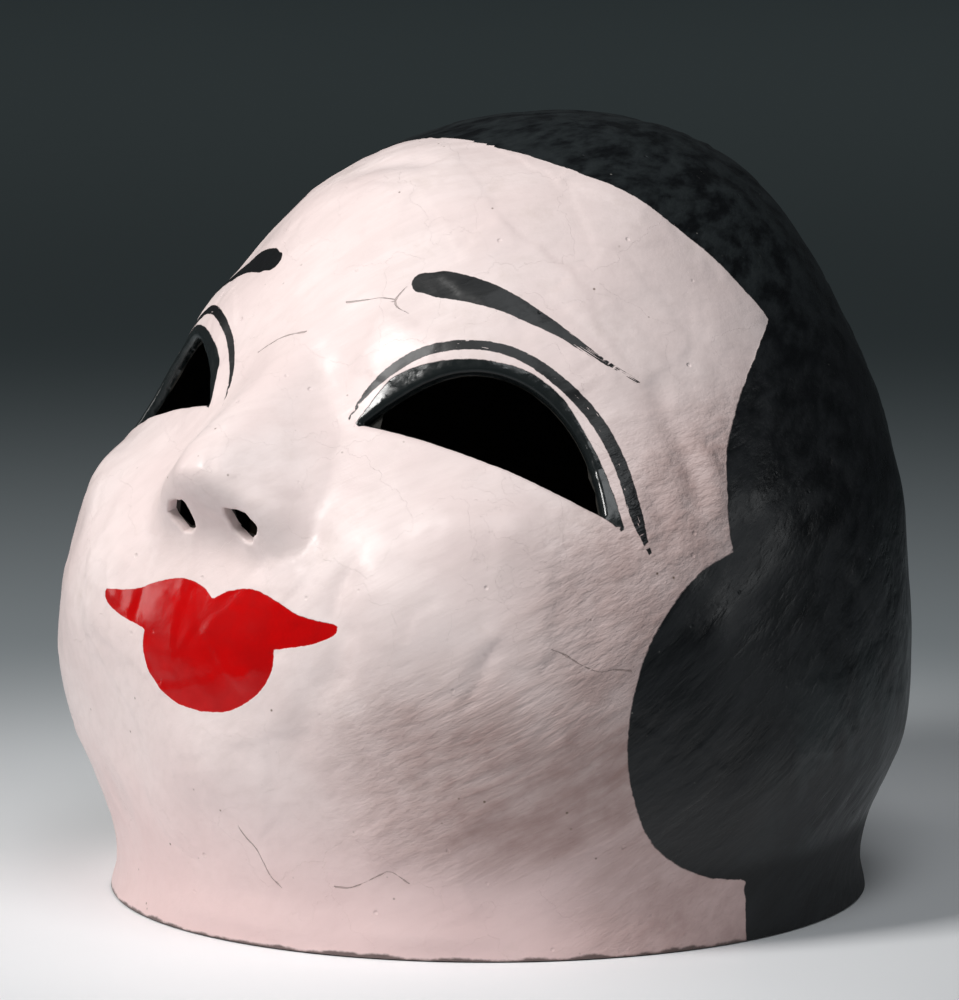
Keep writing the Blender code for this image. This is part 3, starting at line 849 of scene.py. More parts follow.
# ---------------------------------------------------------------- shader helper
class Shader:
    """A material's node tree with short calls for the nodes used here."""

    def __init__(self, name):
        self.material = bpy.data.materials.new(name)
        self.material.use_nodes = True
        self.tree = self.material.node_tree
        self.surface = self.tree.nodes["Principled BSDF"]
        self.place = self.node("ShaderNodeTexCoord").outputs["Object"]

    def node(self, kind, **values):
        made = self.tree.nodes.new(kind)
        for key, value in values.items():
            setattr(made, key, value)
        return made

    def feed(self, socket, value):
        if isinstance(value, bpy.types.NodeSocket):
            self.tree.links.new(value, socket)
        else:
            socket.default_value = value

    def math(self, operation, first, second=0.0, third=0.0, clamp=False):
        made = self.node("ShaderNodeMath", operation=operation, use_clamp=clamp)
        for socket, value in zip(made.inputs, (first, second, third)):
            self.feed(socket, value)
        return made.outputs[0]

    def add(self, first, second):
        return self.math("ADD", first, second)

    def times(self, first, second):
        return self.math("MULTIPLY", first, second)

    def ramp(self, value, low, high, start=0.0, end=1.0):
        made = self.node("ShaderNodeMapRange", interpolation_type="SMOOTHSTEP")
        for socket, item in zip(made.inputs, (value, low, high, start, end)):
            self.feed(socket, item)
        return made.outputs["Result"]

    def mix(self, share, first, second):
        made = self.node("ShaderNodeMix", data_type="RGBA")
        self.feed(made.inputs[0], share)
        for socket, value in ((made.inputs[6], first), (made.inputs[7], second)):
            self.feed(socket, (*value, 1.0) if isinstance(value, tuple) else value)
        return made.outputs[2]

    def mixed_value(self, share, first, second):
        made = self.node("ShaderNodeMix", data_type="FLOAT")
        for socket, value in ((made.inputs[0], share), (made.inputs[2], first), (made.inputs[3], second)):
            self.feed(socket, value)
        return made.outputs[0]

    def attribute(self, name):
        return self.node("ShaderNodeAttribute", attribute_name=name).outputs["Fac"]

    def line(self, name, half_width):
        """How far inside a fine line's edge a point is, in mm; its reach stops it past its ends."""
        across = self.math("SUBTRACT", half_width, self.math("ABSOLUTE", self.attribute(name)))
        past = self.add(self.math("SUBTRACT", half_width, self.attribute(name + "_reach")), 0.8)
        return self.math("MINIMUM", across, past)

    def stroke(self, name, half_width):
        """How far inside a broad stroke's edge a point is, in mm."""
        return self.math("SUBTRACT", half_width, self.attribute(name + "_reach"))

    def noise(self, size, detail=3.0, rough=0.55, place=None, distortion=0.0):
        """Noise with lumps about size mm across."""
        made = self.node("ShaderNodeTexNoise")
        self.feed(made.inputs["Vector"], place or self.place)
        for key, value in (("Scale", 1000.0 / size), ("Detail", detail), ("Roughness", rough),
                           ("Distortion", distortion)):
            made.inputs[key].default_value = value
        return made.outputs["Fac"]

    def dry_brush(self, name, along, across):
        """Noise stretched along a brush stroke: along runs of it in the length, across of them per mm."""
        place = self.node("ShaderNodeCombineXYZ")
        self.feed(place.inputs[0], self.times(self.attribute(name + "_share"), along))
        self.feed(place.inputs[1], self.times(self.attribute(name), across))
        made = self.node("ShaderNodeTexNoise")
        self.feed(made.inputs["Vector"], place.outputs[0])
        made.inputs["Scale"].default_value = 1.0
        return made.outputs["Fac"]

    def specks(self, size):
        """Distance to the nearest of scattered points about size mm apart, 0 to about 1."""
        made = self.node("ShaderNodeTexVoronoi", feature="F1")
        self.feed(made.inputs["Vector"], self.place)
        made.inputs["Scale"].default_value = 1000.0 / size
        return made.outputs["Distance"]

    def torn_sheets(self, size):
        """A flat height for each ragged cell, like overlapping torn paper."""
        bend = self.node("ShaderNodeTexNoise")
        self.feed(bend.inputs["Vector"], self.place)
        bend.inputs["Scale"].default_value = 90.0
        bend.inputs["Detail"].default_value = 5.0
        moved = self.node("ShaderNodeVectorMath", operation="MULTIPLY_ADD")
        self.feed(moved.inputs[0], bend.outputs["Color"])
        moved.inputs[1].default_value = (0.016, 0.016, 0.016)
        self.feed(moved.inputs[2], self.place)
        cells = self.node("ShaderNodeTexVoronoi", feature="F1")
        self.feed(cells.inputs["Vector"], moved.outputs[0])
        cells.inputs["Scale"].default_value = 1000.0 / size
        split = self.node("ShaderNodeSeparateColor")
        self.feed(split.inputs[0], cells.outputs["Color"])
        return split.outputs[0]

    def turned(self, angles, scale):
        """Object coordinates turned by angles in degrees and then stretched."""
        made = self.node("ShaderNodeMapping", vector_type="TEXTURE")
        self.feed(made.inputs["Vector"], self.place)
        made.inputs["Rotation"].default_value = [math.radians(angle) for angle in angles]
        made.inputs["Scale"].default_value = scale
        return made.outputs["Vector"]

    def bump(self, height, distance):
        """Bump from a height in shares of distance, given in mm."""
        made = self.node("ShaderNodeBump")
        made.inputs["Strength"].default_value = 1.0
        made.inputs["Distance"].default_value = distance * MM
        self.feed(made.inputs["Height"], height)
        return made.outputs["Normal"]

    def finish(self, colour, roughness, normal=None, **values):
        self.feed(self.surface.inputs["Base Color"], (*colour, 1.0) if isinstance(colour, tuple) else colour)
        self.feed(self.surface.inputs["Roughness"], roughness)
        if normal is not None:
            self.feed(self.surface.inputs["Normal"], normal)
        for key, value in values.items():
            self.surface.inputs[key].default_value = value
        return self.material


def painted_shade_mask(s, height, sideways):
    """Painted shade on the jaw and on the cheek beside the eye, on the mask's left only, with some brown
    grime in it.
    """
    jaw = s.times(s.ramp(height, 0.135, 0.085), s.ramp(sideways, 0.030, 0.105))
    jaw = s.times(jaw, s.ramp(height, 0.022, 0.050))
    cheek = s.times(s.ramp(sideways, 0.105, 0.145), s.ramp(height, 0.240, 0.190))
    return s.math("MAXIMUM", jaw, s.times(cheek, 0.80))


def liner_mask(s, ragged):
    """The line over the eye: thin at both ends, with gaps where the brush ran dry."""
    share = s.attribute("liner_share")
    half = s.ramp(share, 0.0, 0.17, 0.5, 2.1)
    half = s.times(half, s.ramp(share, 0.35, 0.75, 0.95, 1.25))
    half = s.times(half, s.ramp(share, 0.90, 1.0, 1.0, 0.35))
    dry_gap = s.ramp(s.dry_brush("liner", 34.0, 1.5), 0.67, 0.74, 0.0, 2.2)
    edge = s.add(s.stroke("liner", half), s.times(ragged, 0.9))
    edge = s.math("SUBTRACT", edge, s.times(dry_gap, s.ramp(share, 0.18, 0.32, 0.2, 1.0)))
    return s.ramp(edge, -0.18, 0.18)


def brow_mask(s, ragged):
    """The brow: broad at its inner end, thin and streaked towards its tail."""
    share = s.attribute("brow_share")
    half = s.times(s.ramp(share, 0.0, 0.08, 4.6, 6.1), s.ramp(share, 0.06, 0.96, 1.0, 0.14))
    streak = s.ramp(s.dry_brush("brow", 9.0, 2.1), 0.50, 0.60, 0.0, 2.0)
    edge = s.add(s.stroke("brow", half), s.times(ragged, 0.7))
    edge = s.math("SUBTRACT", edge, s.times(streak, s.ramp(share, 0.58, 0.86)))
    return s.ramp(edge, -0.18, 0.18)


def pink_enamel(s, broad, middle, strokes, height, shade, crack_line):
    """Pink with grime, specks, cracks, painted shade on the jaw and cheek of one side, and the dark line
    along the foot.
    """
    neck = s.ramp(height, 0.085, 0.012)
    pink = s.mix(s.ramp(broad, 0.35, 0.68), (0.770, 0.640, 0.625), (0.830, 0.715, 0.700))
    pink = s.mix(s.times(s.ramp(strokes, 0.35, 0.75), 0.45), pink, (0.70, 0.585, 0.565))
    pink = s.mix(s.times(neck, 0.55), pink, (0.74, 0.50, 0.49))
    grime = s.ramp(s.noise(30.0, 5.0, 0.68), 0.56, 0.80)
    pink = s.mix(s.times(grime, 0.30), pink, (0.50, 0.40, 0.34))
    # painted shade, blotched and streaked, where the shade mask lies; some brown grime is in it too
    blotch = s.ramp(s.noise(26.0, 4.0, 0.6), 0.3, 0.7, 0.45, 0.72)
    painted_shade_tone = s.add(s.ramp(strokes, 0.3, 0.7, 0.0, 0.22), blotch)
    pink = s.mix(s.times(shade, painted_shade_tone), pink, (0.34, 0.215, 0.195))
    spots = s.ramp(s.specks(9.0), 0.085, 0.02)
    pink = s.mix(s.times(spots, s.ramp(s.noise(17.0), 0.52, 0.62)), pink, (0.16, 0.11, 0.08))
    pink = s.mix(s.times(crack_line, 0.45), pink, (0.13, 0.085, 0.06))
    foot_line = s.ramp(s.add(height, s.times(s.math("ADD", middle, -0.5), 0.005)), 0.0016, 0.0004)
    pink = s.mix(s.times(foot_line, 0.85), pink, (0.045, 0.030, 0.026))
    return pink


def black_hair(s, hair_strokes, height, depth):
    """Satin black with painted sheen low on the back and on the crown, scuffs and chips; also where the low
    gloss and painted sheen are.
    """
    black = s.mix(s.ramp(hair_strokes, 0.30, 0.75), (0.0040, 0.0046, 0.0054), (0.0105, 0.012, 0.014))
    mottle = s.ramp(s.noise(24.0, 5.0, 0.62, s.turned((0.0, -40.0, 0.0), (2.4, 1.0, 1.0))), 0.40, 0.58)
    # painted sheen: a lighter black low on the back of the head, where the paint is also glossier
    low_gloss_and_painted_sheen = s.times(s.ramp(height, 0.125, 0.080), s.ramp(depth, -0.030, 0.020))
    low_gloss_and_painted_sheen = s.times(s.times(low_gloss_and_painted_sheen, mottle), s.ramp(height, 0.026, 0.036))
    # painted sheen on the crown, along the brush streaks
    crown_painted_sheen = s.times(s.ramp(height, 0.215, 0.262), s.ramp(hair_strokes, 0.36, 0.62))
    black = s.mix(s.math("MAXIMUM", low_gloss_and_painted_sheen, s.times(crown_painted_sheen, 0.8)), black, (0.0190, 0.0235, 0.0250))
    scuff = s.ramp(s.noise(5.0, 5.0, 0.7, distortion=1.0), 0.66, 0.74)
    scuff = s.times(scuff, s.ramp(s.noise(40.0), 0.5, 0.6))
    black = s.mix(s.times(scuff, 0.5), black, (0.16, 0.15, 0.14))
    near_line = s.ramp(s.attribute("hair"), 12.0, 1.0)
    chips = s.times(s.ramp(s.specks(5.0), 0.14, 0.06), s.times(near_line, s.ramp(s.noise(15.0), 0.58, 0.66)))
    black = s.mix(chips, black, (0.55, 0.52, 0.48))
    return black, low_gloss_and_painted_sheen


def painted_head():
    """Pink enamel, black hair and brush lines, red lips, the dirt of handling and some painted shade and
    sheen, on one surface.
    """
    s = Shader("painted_head")
    broad = s.noise(60.0, 2.0)
    middle = s.noise(14.0, 4.0, 0.6)
    fine = s.noise(2.6, 3.0, 0.6)
    ragged = s.math("MULTIPLY_ADD", fine, 1.0, -0.5)
    strokes = s.noise(5.0, 4.0, 0.6, s.turned((0.0, -28.0, 42.0), (7.0, 1.0, 1.0)))
    hair_strokes = s.noise(9.0, 4.0, 0.6, s.turned((0.0, -38.0, 75.0), (4.5, 1.0, 1.0)))

    axes = s.node("ShaderNodeSeparateXYZ")
    s.feed(axes.inputs[0], s.place)
    height = axes.outputs["Z"]
    # the mask of the painted shade, partly brown grime, on the jaw and cheek of the mask's left
    shade = painted_shade_mask(s, height, axes.outputs["X"])

    # masks from the painted outlines
    edge = s.add(s.times(ragged, 0.9), s.times(s.math("ADD", middle, -0.5), 1.1))
    hair = s.ramp(s.add(s.attribute("hair"), edge), -0.28, 0.28)
    lips = s.ramp(s.add(s.attribute("lips"), s.times(ragged, 0.7)), -0.2, 0.2)
    rim = s.ramp(s.add(s.attribute("rim"), s.times(ragged, 0.8)), -0.22, 0.22)

    ink = s.math("MAXIMUM", liner_mask(s, ragged), brow_mask(s, ragged))

    crack_width = s.ramp(s.noise(7.0, 3.0), 0.38, 0.66, 0.02, 0.34)
    crack_line = s.ramp(s.line("cracks", crack_width), -0.10, 0.10)
    pink = pink_enamel(s, broad, middle, strokes, height, shade, crack_line)
    black, low_gloss_and_painted_sheen = black_hair(s, hair_strokes, height, axes.outputs["Y"])

    # red lips and the black lines
    red = s.mix(s.ramp(middle, 0.35, 0.7), (0.50, 0.0020, 0.0024), (0.42, 0.0015, 0.0020))
    colour = s.mix(hair, pink, black)
    colour = s.mix(ink, colour, (0.0055, 0.0062, 0.0070))
    # the rim's lacquer is a lighter black than the brush lines: partly painted reflection
    colour = s.mix(rim, colour, (0.0120, 0.0150, 0.0155))
    colour = s.mix(lips, colour, red)

    rough = s.ramp(s.noise(22.0, 4.0, 0.6), 0.35, 0.7, 0.36, 0.54)
    hair_rough = s.mixed_value(low_gloss_and_painted_sheen, s.ramp(hair_strokes, 0.3, 0.75, 0.26, 0.50), 0.32)
    hair_rough = s.mixed_value(s.ramp(height, 0.036, 0.026), hair_rough, 0.62)
    rough = s.mixed_value(hair, rough, hair_rough)
    rough = s.mixed_value(ink, rough, 0.42)
    rough = s.mixed_value(rim, rough, s.ramp(s.noise(4.0), 0.3, 0.7, 0.10, 0.26))
    rough = s.mixed_value(lips, rough, s.ramp(middle, 0.3, 0.7, 0.16, 0.24))

    # brush marks, pits and hair ridges
    sheets = s.torn_sheets(34.0)
    marks = s.add(s.times(strokes, s.ramp(shade, 0.0, 0.8, 0.35, 2.6)), s.times(fine, 0.12))
    marks = s.add(marks, s.times(sheets, 0.55))
    marks = s.mixed_value(hair, marks, s.add(s.times(hair_strokes, 1.9), s.times(fine, 0.15)))
    marks = s.mixed_value(s.math("MAXIMUM", rim, lips), marks, s.times(middle, 0.5))
    pits = s.times(s.ramp(s.specks(12.0), 0.10, 0.03), s.ramp(s.noise(23.0), 0.50, 0.60))
    marks = s.math("SUBTRACT", marks, s.times(pits, 0.7))
    marks = s.math("SUBTRACT", marks, s.times(crack_line, 0.9))
    marks = s.add(marks, s.times(s.math("MAXIMUM", hair, ink), 0.12))
    normal = s.bump(marks, 0.55)
    return s.finish(colour, rough, normal, **{"Coat Weight": 0.04, "Coat Roughness": 0.14, "IOR": 1.38})


def inner_paper():
    """The unpainted inside: aged glued paper with fibres, torn edges and stains, near black in colour, which
    is partly painted shade for the dark inside the head.
    """
    s = Shader("inner_paper")
    stain = s.noise(40.0, 5.0, 0.65)
    fibre = s.noise(2.0, 4.0, 0.7, s.turned((10.0, 30.0, 60.0), (3.0, 1.0, 0.5)))
    colour = s.mix(s.ramp(stain, 0.35, 0.7), (0.011, 0.010, 0.008), (0.026, 0.022, 0.017))
    colour = s.mix(s.times(s.ramp(fibre, 0.4, 0.8), 0.35), colour, (0.045, 0.038, 0.028))
    return s.finish(colour, s.ramp(stain, 0.3, 0.7, 0.78, 0.95), s.bump(fibre, 0.5), IOR=1.45)


def strip_paper():
    s = Shader("pasted_strips")
    stain = s.noise(25.0, 5.0, 0.65)
    fibre = s.noise(2.4, 4.0, 0.7, s.turned((0.0, 0.0, 80.0), (4.0, 1.0, 0.6)))
    colour = s.mix(s.ramp(stain, 0.3, 0.7), (0.24, 0.175, 0.105), (0.38, 0.30, 0.20))
    colour = s.mix(s.times(s.ramp(fibre, 0.45, 0.8), 0.5), colour, (0.46, 0.39, 0.28))
    return s.finish(colour, s.ramp(stain, 0.3, 0.7, 0.75, 0.92), s.bump(fibre, 0.4), IOR=1.45)


def split_bamboo():
    s = Shader("split_bamboo")
    grain = s.noise(3.0, 4.0, 0.6, s.turned((0.0, 0.0, 0.0), (5.0, 5.0, 0.35)))
    tone = s.noise(30.0, 3.0)
    colour = s.mix(s.ramp(tone, 0.3, 0.7), (0.36, 0.22, 0.085), (0.50, 0.34, 0.15))
    colour = s.mix(s.times(s.ramp(grain, 0.5, 0.75), 0.6), colour, (0.20, 0.115, 0.045))
    return s.finish(colour, s.ramp(grain, 0.3, 0.7, 0.38, 0.58), s.bump(grain, 0.25), IOR=1.5)


def woven(name, warp_colour, weft_colour, size, sheen):
    """Plain weave: two crossed sets of threads, each size mm wide."""
    s = Shader(name)
    axes = s.node("ShaderNodeSeparateXYZ")
    s.feed(axes.inputs[0], s.place)
    pace = math.pi / (size * MM)
    x, y, z = (s.times(axes.outputs[key], pace) for key in "XYZ")
    wobble = s.times(s.math("ADD", s.noise(6.0), -0.5), 1.6)
    warp = s.math("SINE", s.add(s.add(x, s.times(z, 0.21)), wobble))
    weft = s.math("SINE", s.add(s.add(s.add(y, z), s.times(x, 0.13)), wobble))
    over = s.times(warp, weft)
    cloth = s.mix(s.ramp(over, -0.35, 0.35), warp_colour, weft_colour)
    wear = s.ramp(s.noise(16.0, 4.0, 0.6), 0.45, 0.75)
    faded = tuple(min(1.0, channel * 1.9 + 0.02) for channel in weft_colour)
    cloth = s.mix(s.times(wear, 0.35), cloth, faded)
    threads = s.add(s.math("ABSOLUTE", warp), s.math("ABSOLUTE", weft))
    return s.finish(cloth, s.ramp(threads, 0.2, 1.6, 0.95, 0.78), s.bump(threads, 0.22),
                    **{"Sheen Weight": sheen, "Sheen Roughness": 0.45, "IOR": 1.4})


# ---------------------------------------------------------------- making of the head
head_paint = painted_head()
inside_paper = inner_paper()
strip_paint = strip_paper()
bamboo = split_bamboo()
shell_materials = [head_paint, inside_paper]

holes = hole_centres()
fine_skin = cut_openings(skin_grid((0.0, COLLAR_TOP), (18, 240), 380, 0.60), EYE_ROLL, NOSTRIL_ROLL)
coarse_skin = cut_openings(skin_grid((0.0, COLLAR_TOP), (6, 70), 116, 0.60), 0.0, 0.0)
SHELLS = {
    "face_shell": (1, -1.0, "painted_paper"),
    "back_shell": (1, 1.0, "black_painted_paper"),
    "neck_collar_front": (0, -1.0, "painted_paper"),
    "neck_collar_back": (0, 1.0, "black_painted_paper"),
}
seam_values = {}
for skin in (fine_skin, coarse_skin):
    values = skin.points()[:, 1] - SEAM_Y
    seam_values[id(skin)] = skin.snap(off_zero(values))
for node, (band, side, slot) in SHELLS.items():
    halves = []
    for skin in (fine_skin, coarse_skin):
        half = skin.keep(side * seam_values[id(skin)])
        halves.append(half.take(half.band == band))
    shell = build_shell(f"painted_{node}", halves[0], halves[1], shell_materials, holes)
    place_piece(shell, node)

# ---------------------------------------------------------------- head ring, pads, tapes and strips
RING_CENTRE = np.array([0.0, 30.0, 234.0])
RING_INNER = np.array([80.0, 97.0])
RING_THICKNESS = 2.5
RING_TALL = 24.0
PAD_THICKNESS = 6.0
PAD_TALL = 32.0
PAD_PANELS = 22
PAD_GRID = (480, 25)
PAD_BINDING = 4.0
PIPING_INSET = 4.0
GORES = 8
STRAP_THICKNESS = 1.2
STRAP_WIDTH = 20.0
STRAP_RISE = 40.0
STRAP_HOLD = 14.0
CROWN_PAD_RADIUS = 42.0
CROWN_PAD_THICKNESS = 10.0
CROWN_BOW = 78.0
HANGER_WIDTH = 16.0
HANGER_CLEAR = 1.5
HANGERS = {"front_left": 42.0, "front_right": -42.0, "back_left": 138.0, "back_right": -138.0}
PATCH_HEIGHTS = (248.0, 272.0)
PATCH_WIDTH = 36.0
STRIP_THICKNESS = 1.0
STRIP_DEPTH = WALL + 2.0 * GAP
STRIP_HALF_WIDTH = 15.0
COLLAR_STRIP = (18.0, 44.0)
TAPE_COLUMNS = 25
HEM_REACH = (9.0, 8.2)
STITCH_PLACE = 7.0
THREAD_PITCH = 1.6
CLOTH_FRAMES = 20
SWELL_VOXEL = 2.6
SWELL_CAP = 0.7
SWELL_PRESSURE = 4.0
TEAR_INSET = 0.7
TEAR_DEPTH = 0.5
PATCH_TEAR_DEPTH = 0.4
COLLAR_GRID = (720, 20)
SEAM_GRID = (560, 22)
PATCH_GRID = (40, 28)
SEAM_FOOT_GAP = 2.7
SEAM_HUB = 120.0
SEARCH_SHARES = (0.02, 0.999, 1400)
SEARCH_TURNS = (60.0, 180.0, 481)
SEARCH_THINNING = 7
LEAN_WEIGHT = 60.0


def closed_surface(piece):
    """Makes every face of a closed piece look outwards."""
    bm = bmesh.new()
    bm.from_mesh(piece.data)
    bmesh.ops.recalc_face_normals(bm, faces=bm.faces)
    bm.to_mesh(piece.data)
    bm.free()
    return piece


def closed_grid(name, top, under, materials, wrap=False):
    """Two matching grids of points, one over the other, closed round their edges."""
    rows, columns = top.shape[:2]
    index = np.arange(rows * columns).reshape(rows, columns)
    after = np.roll(index, -1, axis=0)
    steps = rows if wrap else rows - 1
    quads = np.stack([index[:, :-1], after[:, :-1], after[:, 1:], index[:, 1:]], axis=-1)
    top_quads = quads[:steps].reshape(-1, 4)
    low = rows * columns
    faces = [top_quads, top_quads[:, ::-1] + low]
    for column, flip in ((0, 1), (columns - 1, -1)):
        edge, turned = index[:, column][:steps], after[:, column][:steps]
        faces.append(np.column_stack([edge, edge + low, turned + low, turned])[:, ::flip])
    if not wrap:
        for row, flip in ((0, -1), (rows - 1, 1)):
            edge, turned = index[row, :-1], index[row, 1:]
            faces.append(np.column_stack([edge, edge + low, turned + low, turned])[:, ::flip])
    points = np.vstack([top.reshape(-1, 3), under.reshape(-1, 3)])
    return closed_surface(mesh_object(name, points, np.vstack(faces), {}, materials))


def along_path(path, spacing=1.0):
    """Points and unit directions at even steps along a path through the given corners."""
    curve = smooth_curve(path, 24)
    steps = np.linalg.norm(np.diff(curve, axis=0), axis=1)
    reach = np.concatenate([[0.0], np.cumsum(steps)])
    even = np.linspace(0.0, reach[-1], int(reach[-1] / spacing) + 1)
    points = np.column_stack([np.interp(even, reach, curve[:, axis]) for axis in range(3)])
    direction_along = np.gradient(points, axis=0)
    return points, direction_along / np.linalg.norm(direction_along, axis=1, keepdims=True), reach[-1]


def tape(name, path, sideways, width, materials):
    """A woven tape with corded selvages and a turned, stitched hem at both ends."""
    middle, forward, length = along_path(path)
    sideways = np.asarray(sideways, float)
    outward = np.cross(sideways, forward)
    outward /= np.linalg.norm(outward, axis=1, keepdims=True)
    across = np.linspace(-0.5, 0.5, TAPE_COLUMNS)
    reach = np.linspace(0.0, length, len(middle))
    edge = np.abs(across) * 2.0
    half = (0.34 + 0.16 * smooth_step(0.86, 0.94, edge)) * STRAP_THICKNESS
    half[[0, -1]] = 0.16 * STRAP_THICKNESS
    ends = np.minimum(reach, length - reach)
    hem = 0.10 * STRAP_THICKNESS * smooth_step(*HEM_REACH, ends)
    stitch = 0.12 * smooth_step(0.7, 0.2, np.abs(ends - STITCH_PLACE))
    wave = 0.10 * noise(middle, 9.0, 51)
    sway = 0.18 * noise(middle, 12.0, 52)
    widths = (across * width)[None, :, None] * (1.0 + sway / width)[:, None, None]
    flat = middle[:, None, :] + sideways * widths
    threads = np.abs(np.sin(reach * math.pi / THREAD_PITCH))[:, None] * 0.03
    thick = half[None, :] + hem[:, None] - stitch[:, None] * (edge < 0.9)[None, :] + threads
    top = flat + outward[:, None, :] * (wave[:, None] + thick)[..., None]
    under = flat + outward[:, None, :] * (wave[:, None] - thick)[..., None]
    return closed_grid(name, top, under, materials), length


def crown_path(along, reach, rise):
    half = reach + RING_THICKNESS + GAP + STRAP_THICKNESS
    ring_top = RING_TALL / 2.0
    angles = np.linspace(0.0, math.pi, 17)
    out = np.concatenate([[half], half * np.cos(angles), [-half]])
    up = np.concatenate([[ring_top - STRAP_HOLD], ring_top + rise * np.sin(angles), [ring_top - STRAP_HOLD]])
    return RING_CENTRE + np.outer(out, along) + np.outer(up, (0.0, 0.0, 1.0))


def on_level(height, azimuth):
    """Surface point and normal at one height and one azimuth round the ring's axis."""

    def measure(points):
        return np.column_stack([points[:, 2], np.arctan2(points[:, 0], RING_CENTRE[1] - points[:, 1])])

    turn = np.radians([azimuth])
    share, turn = solve_form(np.array([[height, turn[0]]]), np.array([0.75]), turn, measure)
    return head_points(share, turn)[0], head_normals(share, turn)[0]


def hanger_path(azimuth):
    """Up the ring's outer face and on to the paper patch; also the direction of the tape's width."""
    turn = math.radians(azimuth)
    toward = np.array([math.sin(turn), -math.cos(turn), 0.0])
    semi = RING_INNER + RING_THICKNESS
    place = toward / math.hypot(*(toward[:2] / semi))
    outward = np.array([*(place[:2] / semi**2), 0.0])
    outward /= np.linalg.norm(outward)
    path = [RING_CENTRE + place + outward * HANGER_CLEAR + (0.0, 0.0, rise) for rise in (-8.0, 8.0)]
    inside = STRIP_DEPTH + STRIP_THICKNESS + 3.5
    for height in (PATCH_HEIGHTS[0] + 5.0, sum(PATCH_HEIGHTS) / 2.0, PATCH_HEIGHTS[1] - 3.0):
        point, normal = on_level(height, azimuth)
        path.append(point - normal * inside)
    return path, (-outward[1], outward[0], 0.0)


def inner_layer(name, share, turn, wrap=False):
    """A ragged paper layer on the shell's inner wall, over a grid of places on the head form."""
    places = head_points(share.ravel(), turn.ravel())
    normals = head_normals(share.ravel(), turn.ravel())
    ripple = 0.10 * noise(places, 9.0, 61) + 0.05 * noise(places, 3.0, 62)
    near = places - normals * (STRIP_DEPTH + 0.1)
    far = places - normals * (STRIP_DEPTH + STRIP_THICKNESS - 0.2 + ripple)[:, None]
    shape = (*share.shape, 3)
    return closed_grid(name, near.reshape(shape), far.reshape(shape), [strip_paint], wrap)


def share_of_height(heights):
    """Shares of the form at given heights; the heights rise steadily with the share."""
    table = np.linspace(0.0, 0.995, 900)
    return np.interp(heights, section_at(table)[:, 0], table)


def torn(count, size, seed):
    """A ragged offset for each of count places along an edge."""
    return noise(np.column_stack([np.arange(count) * 1.0, np.zeros(count), np.zeros(count)]), size, seed)


def make_collar_strip():
    around, rows = COLLAR_GRID
    turns = np.linspace(-math.pi, math.pi, around, endpoint=False)
    low = COLLAR_STRIP[0] + TEAR_INSET + TEAR_DEPTH * np.abs(torn(len(turns), 5.0, 71))
    high = COLLAR_STRIP[1] - TEAR_INSET - TEAR_DEPTH * np.abs(torn(len(turns), 6.0, 72))
    heights = low[:, None] + (high - low)[:, None] * np.linspace(0.0, 1.0, rows)
    share = share_of_height(heights)
    turn = np.broadcast_to(turns[:, None], share.shape)
    place_piece(inner_layer("pasted_collar_strip", share, turn, wrap=True), "collar_strip")


def make_seam_strip():
    """Over the crown from one side of the neck to the other, at steady distances from the seam's plane."""
    foot = COLLAR_STRIP[1] + SEAM_FOOT_GAP
    rows, columns = SEAM_GRID
    low = SEAM_Y - STRIP_HALF_WIDTH + TEAR_INSET + TEAR_DEPTH * np.abs(torn(rows, 5.0, 73))
    high = SEAM_Y + STRIP_HALF_WIDTH - TEAR_INSET - TEAR_DEPTH * np.abs(torn(rows, 5.0, 74))
    wanted = low[:, None] + (high - low)[:, None] * np.linspace(0.0, 1.0, columns)
    skin_turn = np.radians(np.linspace(*SEARCH_TURNS))
    skin_share, skin_turn = np.meshgrid(np.linspace(*SEARCH_SHARES), skin_turn)
    skin = head_points(skin_share.ravel(), skin_turn.ravel())
    lowest = skin[np.abs(skin[:, 1] - SEAM_Y) < 2.0]
    lowest = lowest[lowest[:, 2] > foot]
    widest = float(np.max(np.arctan2(lowest[:, 0], lowest[:, 2] - SEAM_HUB)))
    lean = np.linspace(-widest, widest, rows)[:, None] * np.ones(columns)
    few = skin[None, ::SEARCH_THINNING]
    start = np.argmin(np.abs(few[..., 1] - SEAM_Y)
                      + LEAN_WEIGHT * np.abs(np.arctan2(few[..., 0], few[..., 2] - SEAM_HUB)
                                      - np.abs(lean[:, :1])), axis=1)
    first_share = skin_share.ravel()[::SEARCH_THINNING][start][:, None] * np.ones(columns)
    first_turn = np.where(lean[:, 0] < 0.0, -1.0, 1.0) * skin_turn.ravel()[::SEARCH_THINNING][start]
    first_turn = first_turn[:, None] * np.ones(columns)

    def measure(points):
        return np.column_stack([points[:, 1], np.arctan2(points[:, 0], points[:, 2] - SEAM_HUB)])

    target = np.column_stack([wanted.ravel(), lean.ravel()])
    share, turn = solve_form(target, first_share.ravel(), first_turn.ravel(), measure)
    piece = inner_layer("pasted_seam_strip", share.reshape(wanted.shape), turn.reshape(wanted.shape))
    place_piece(piece, "seam_strip")


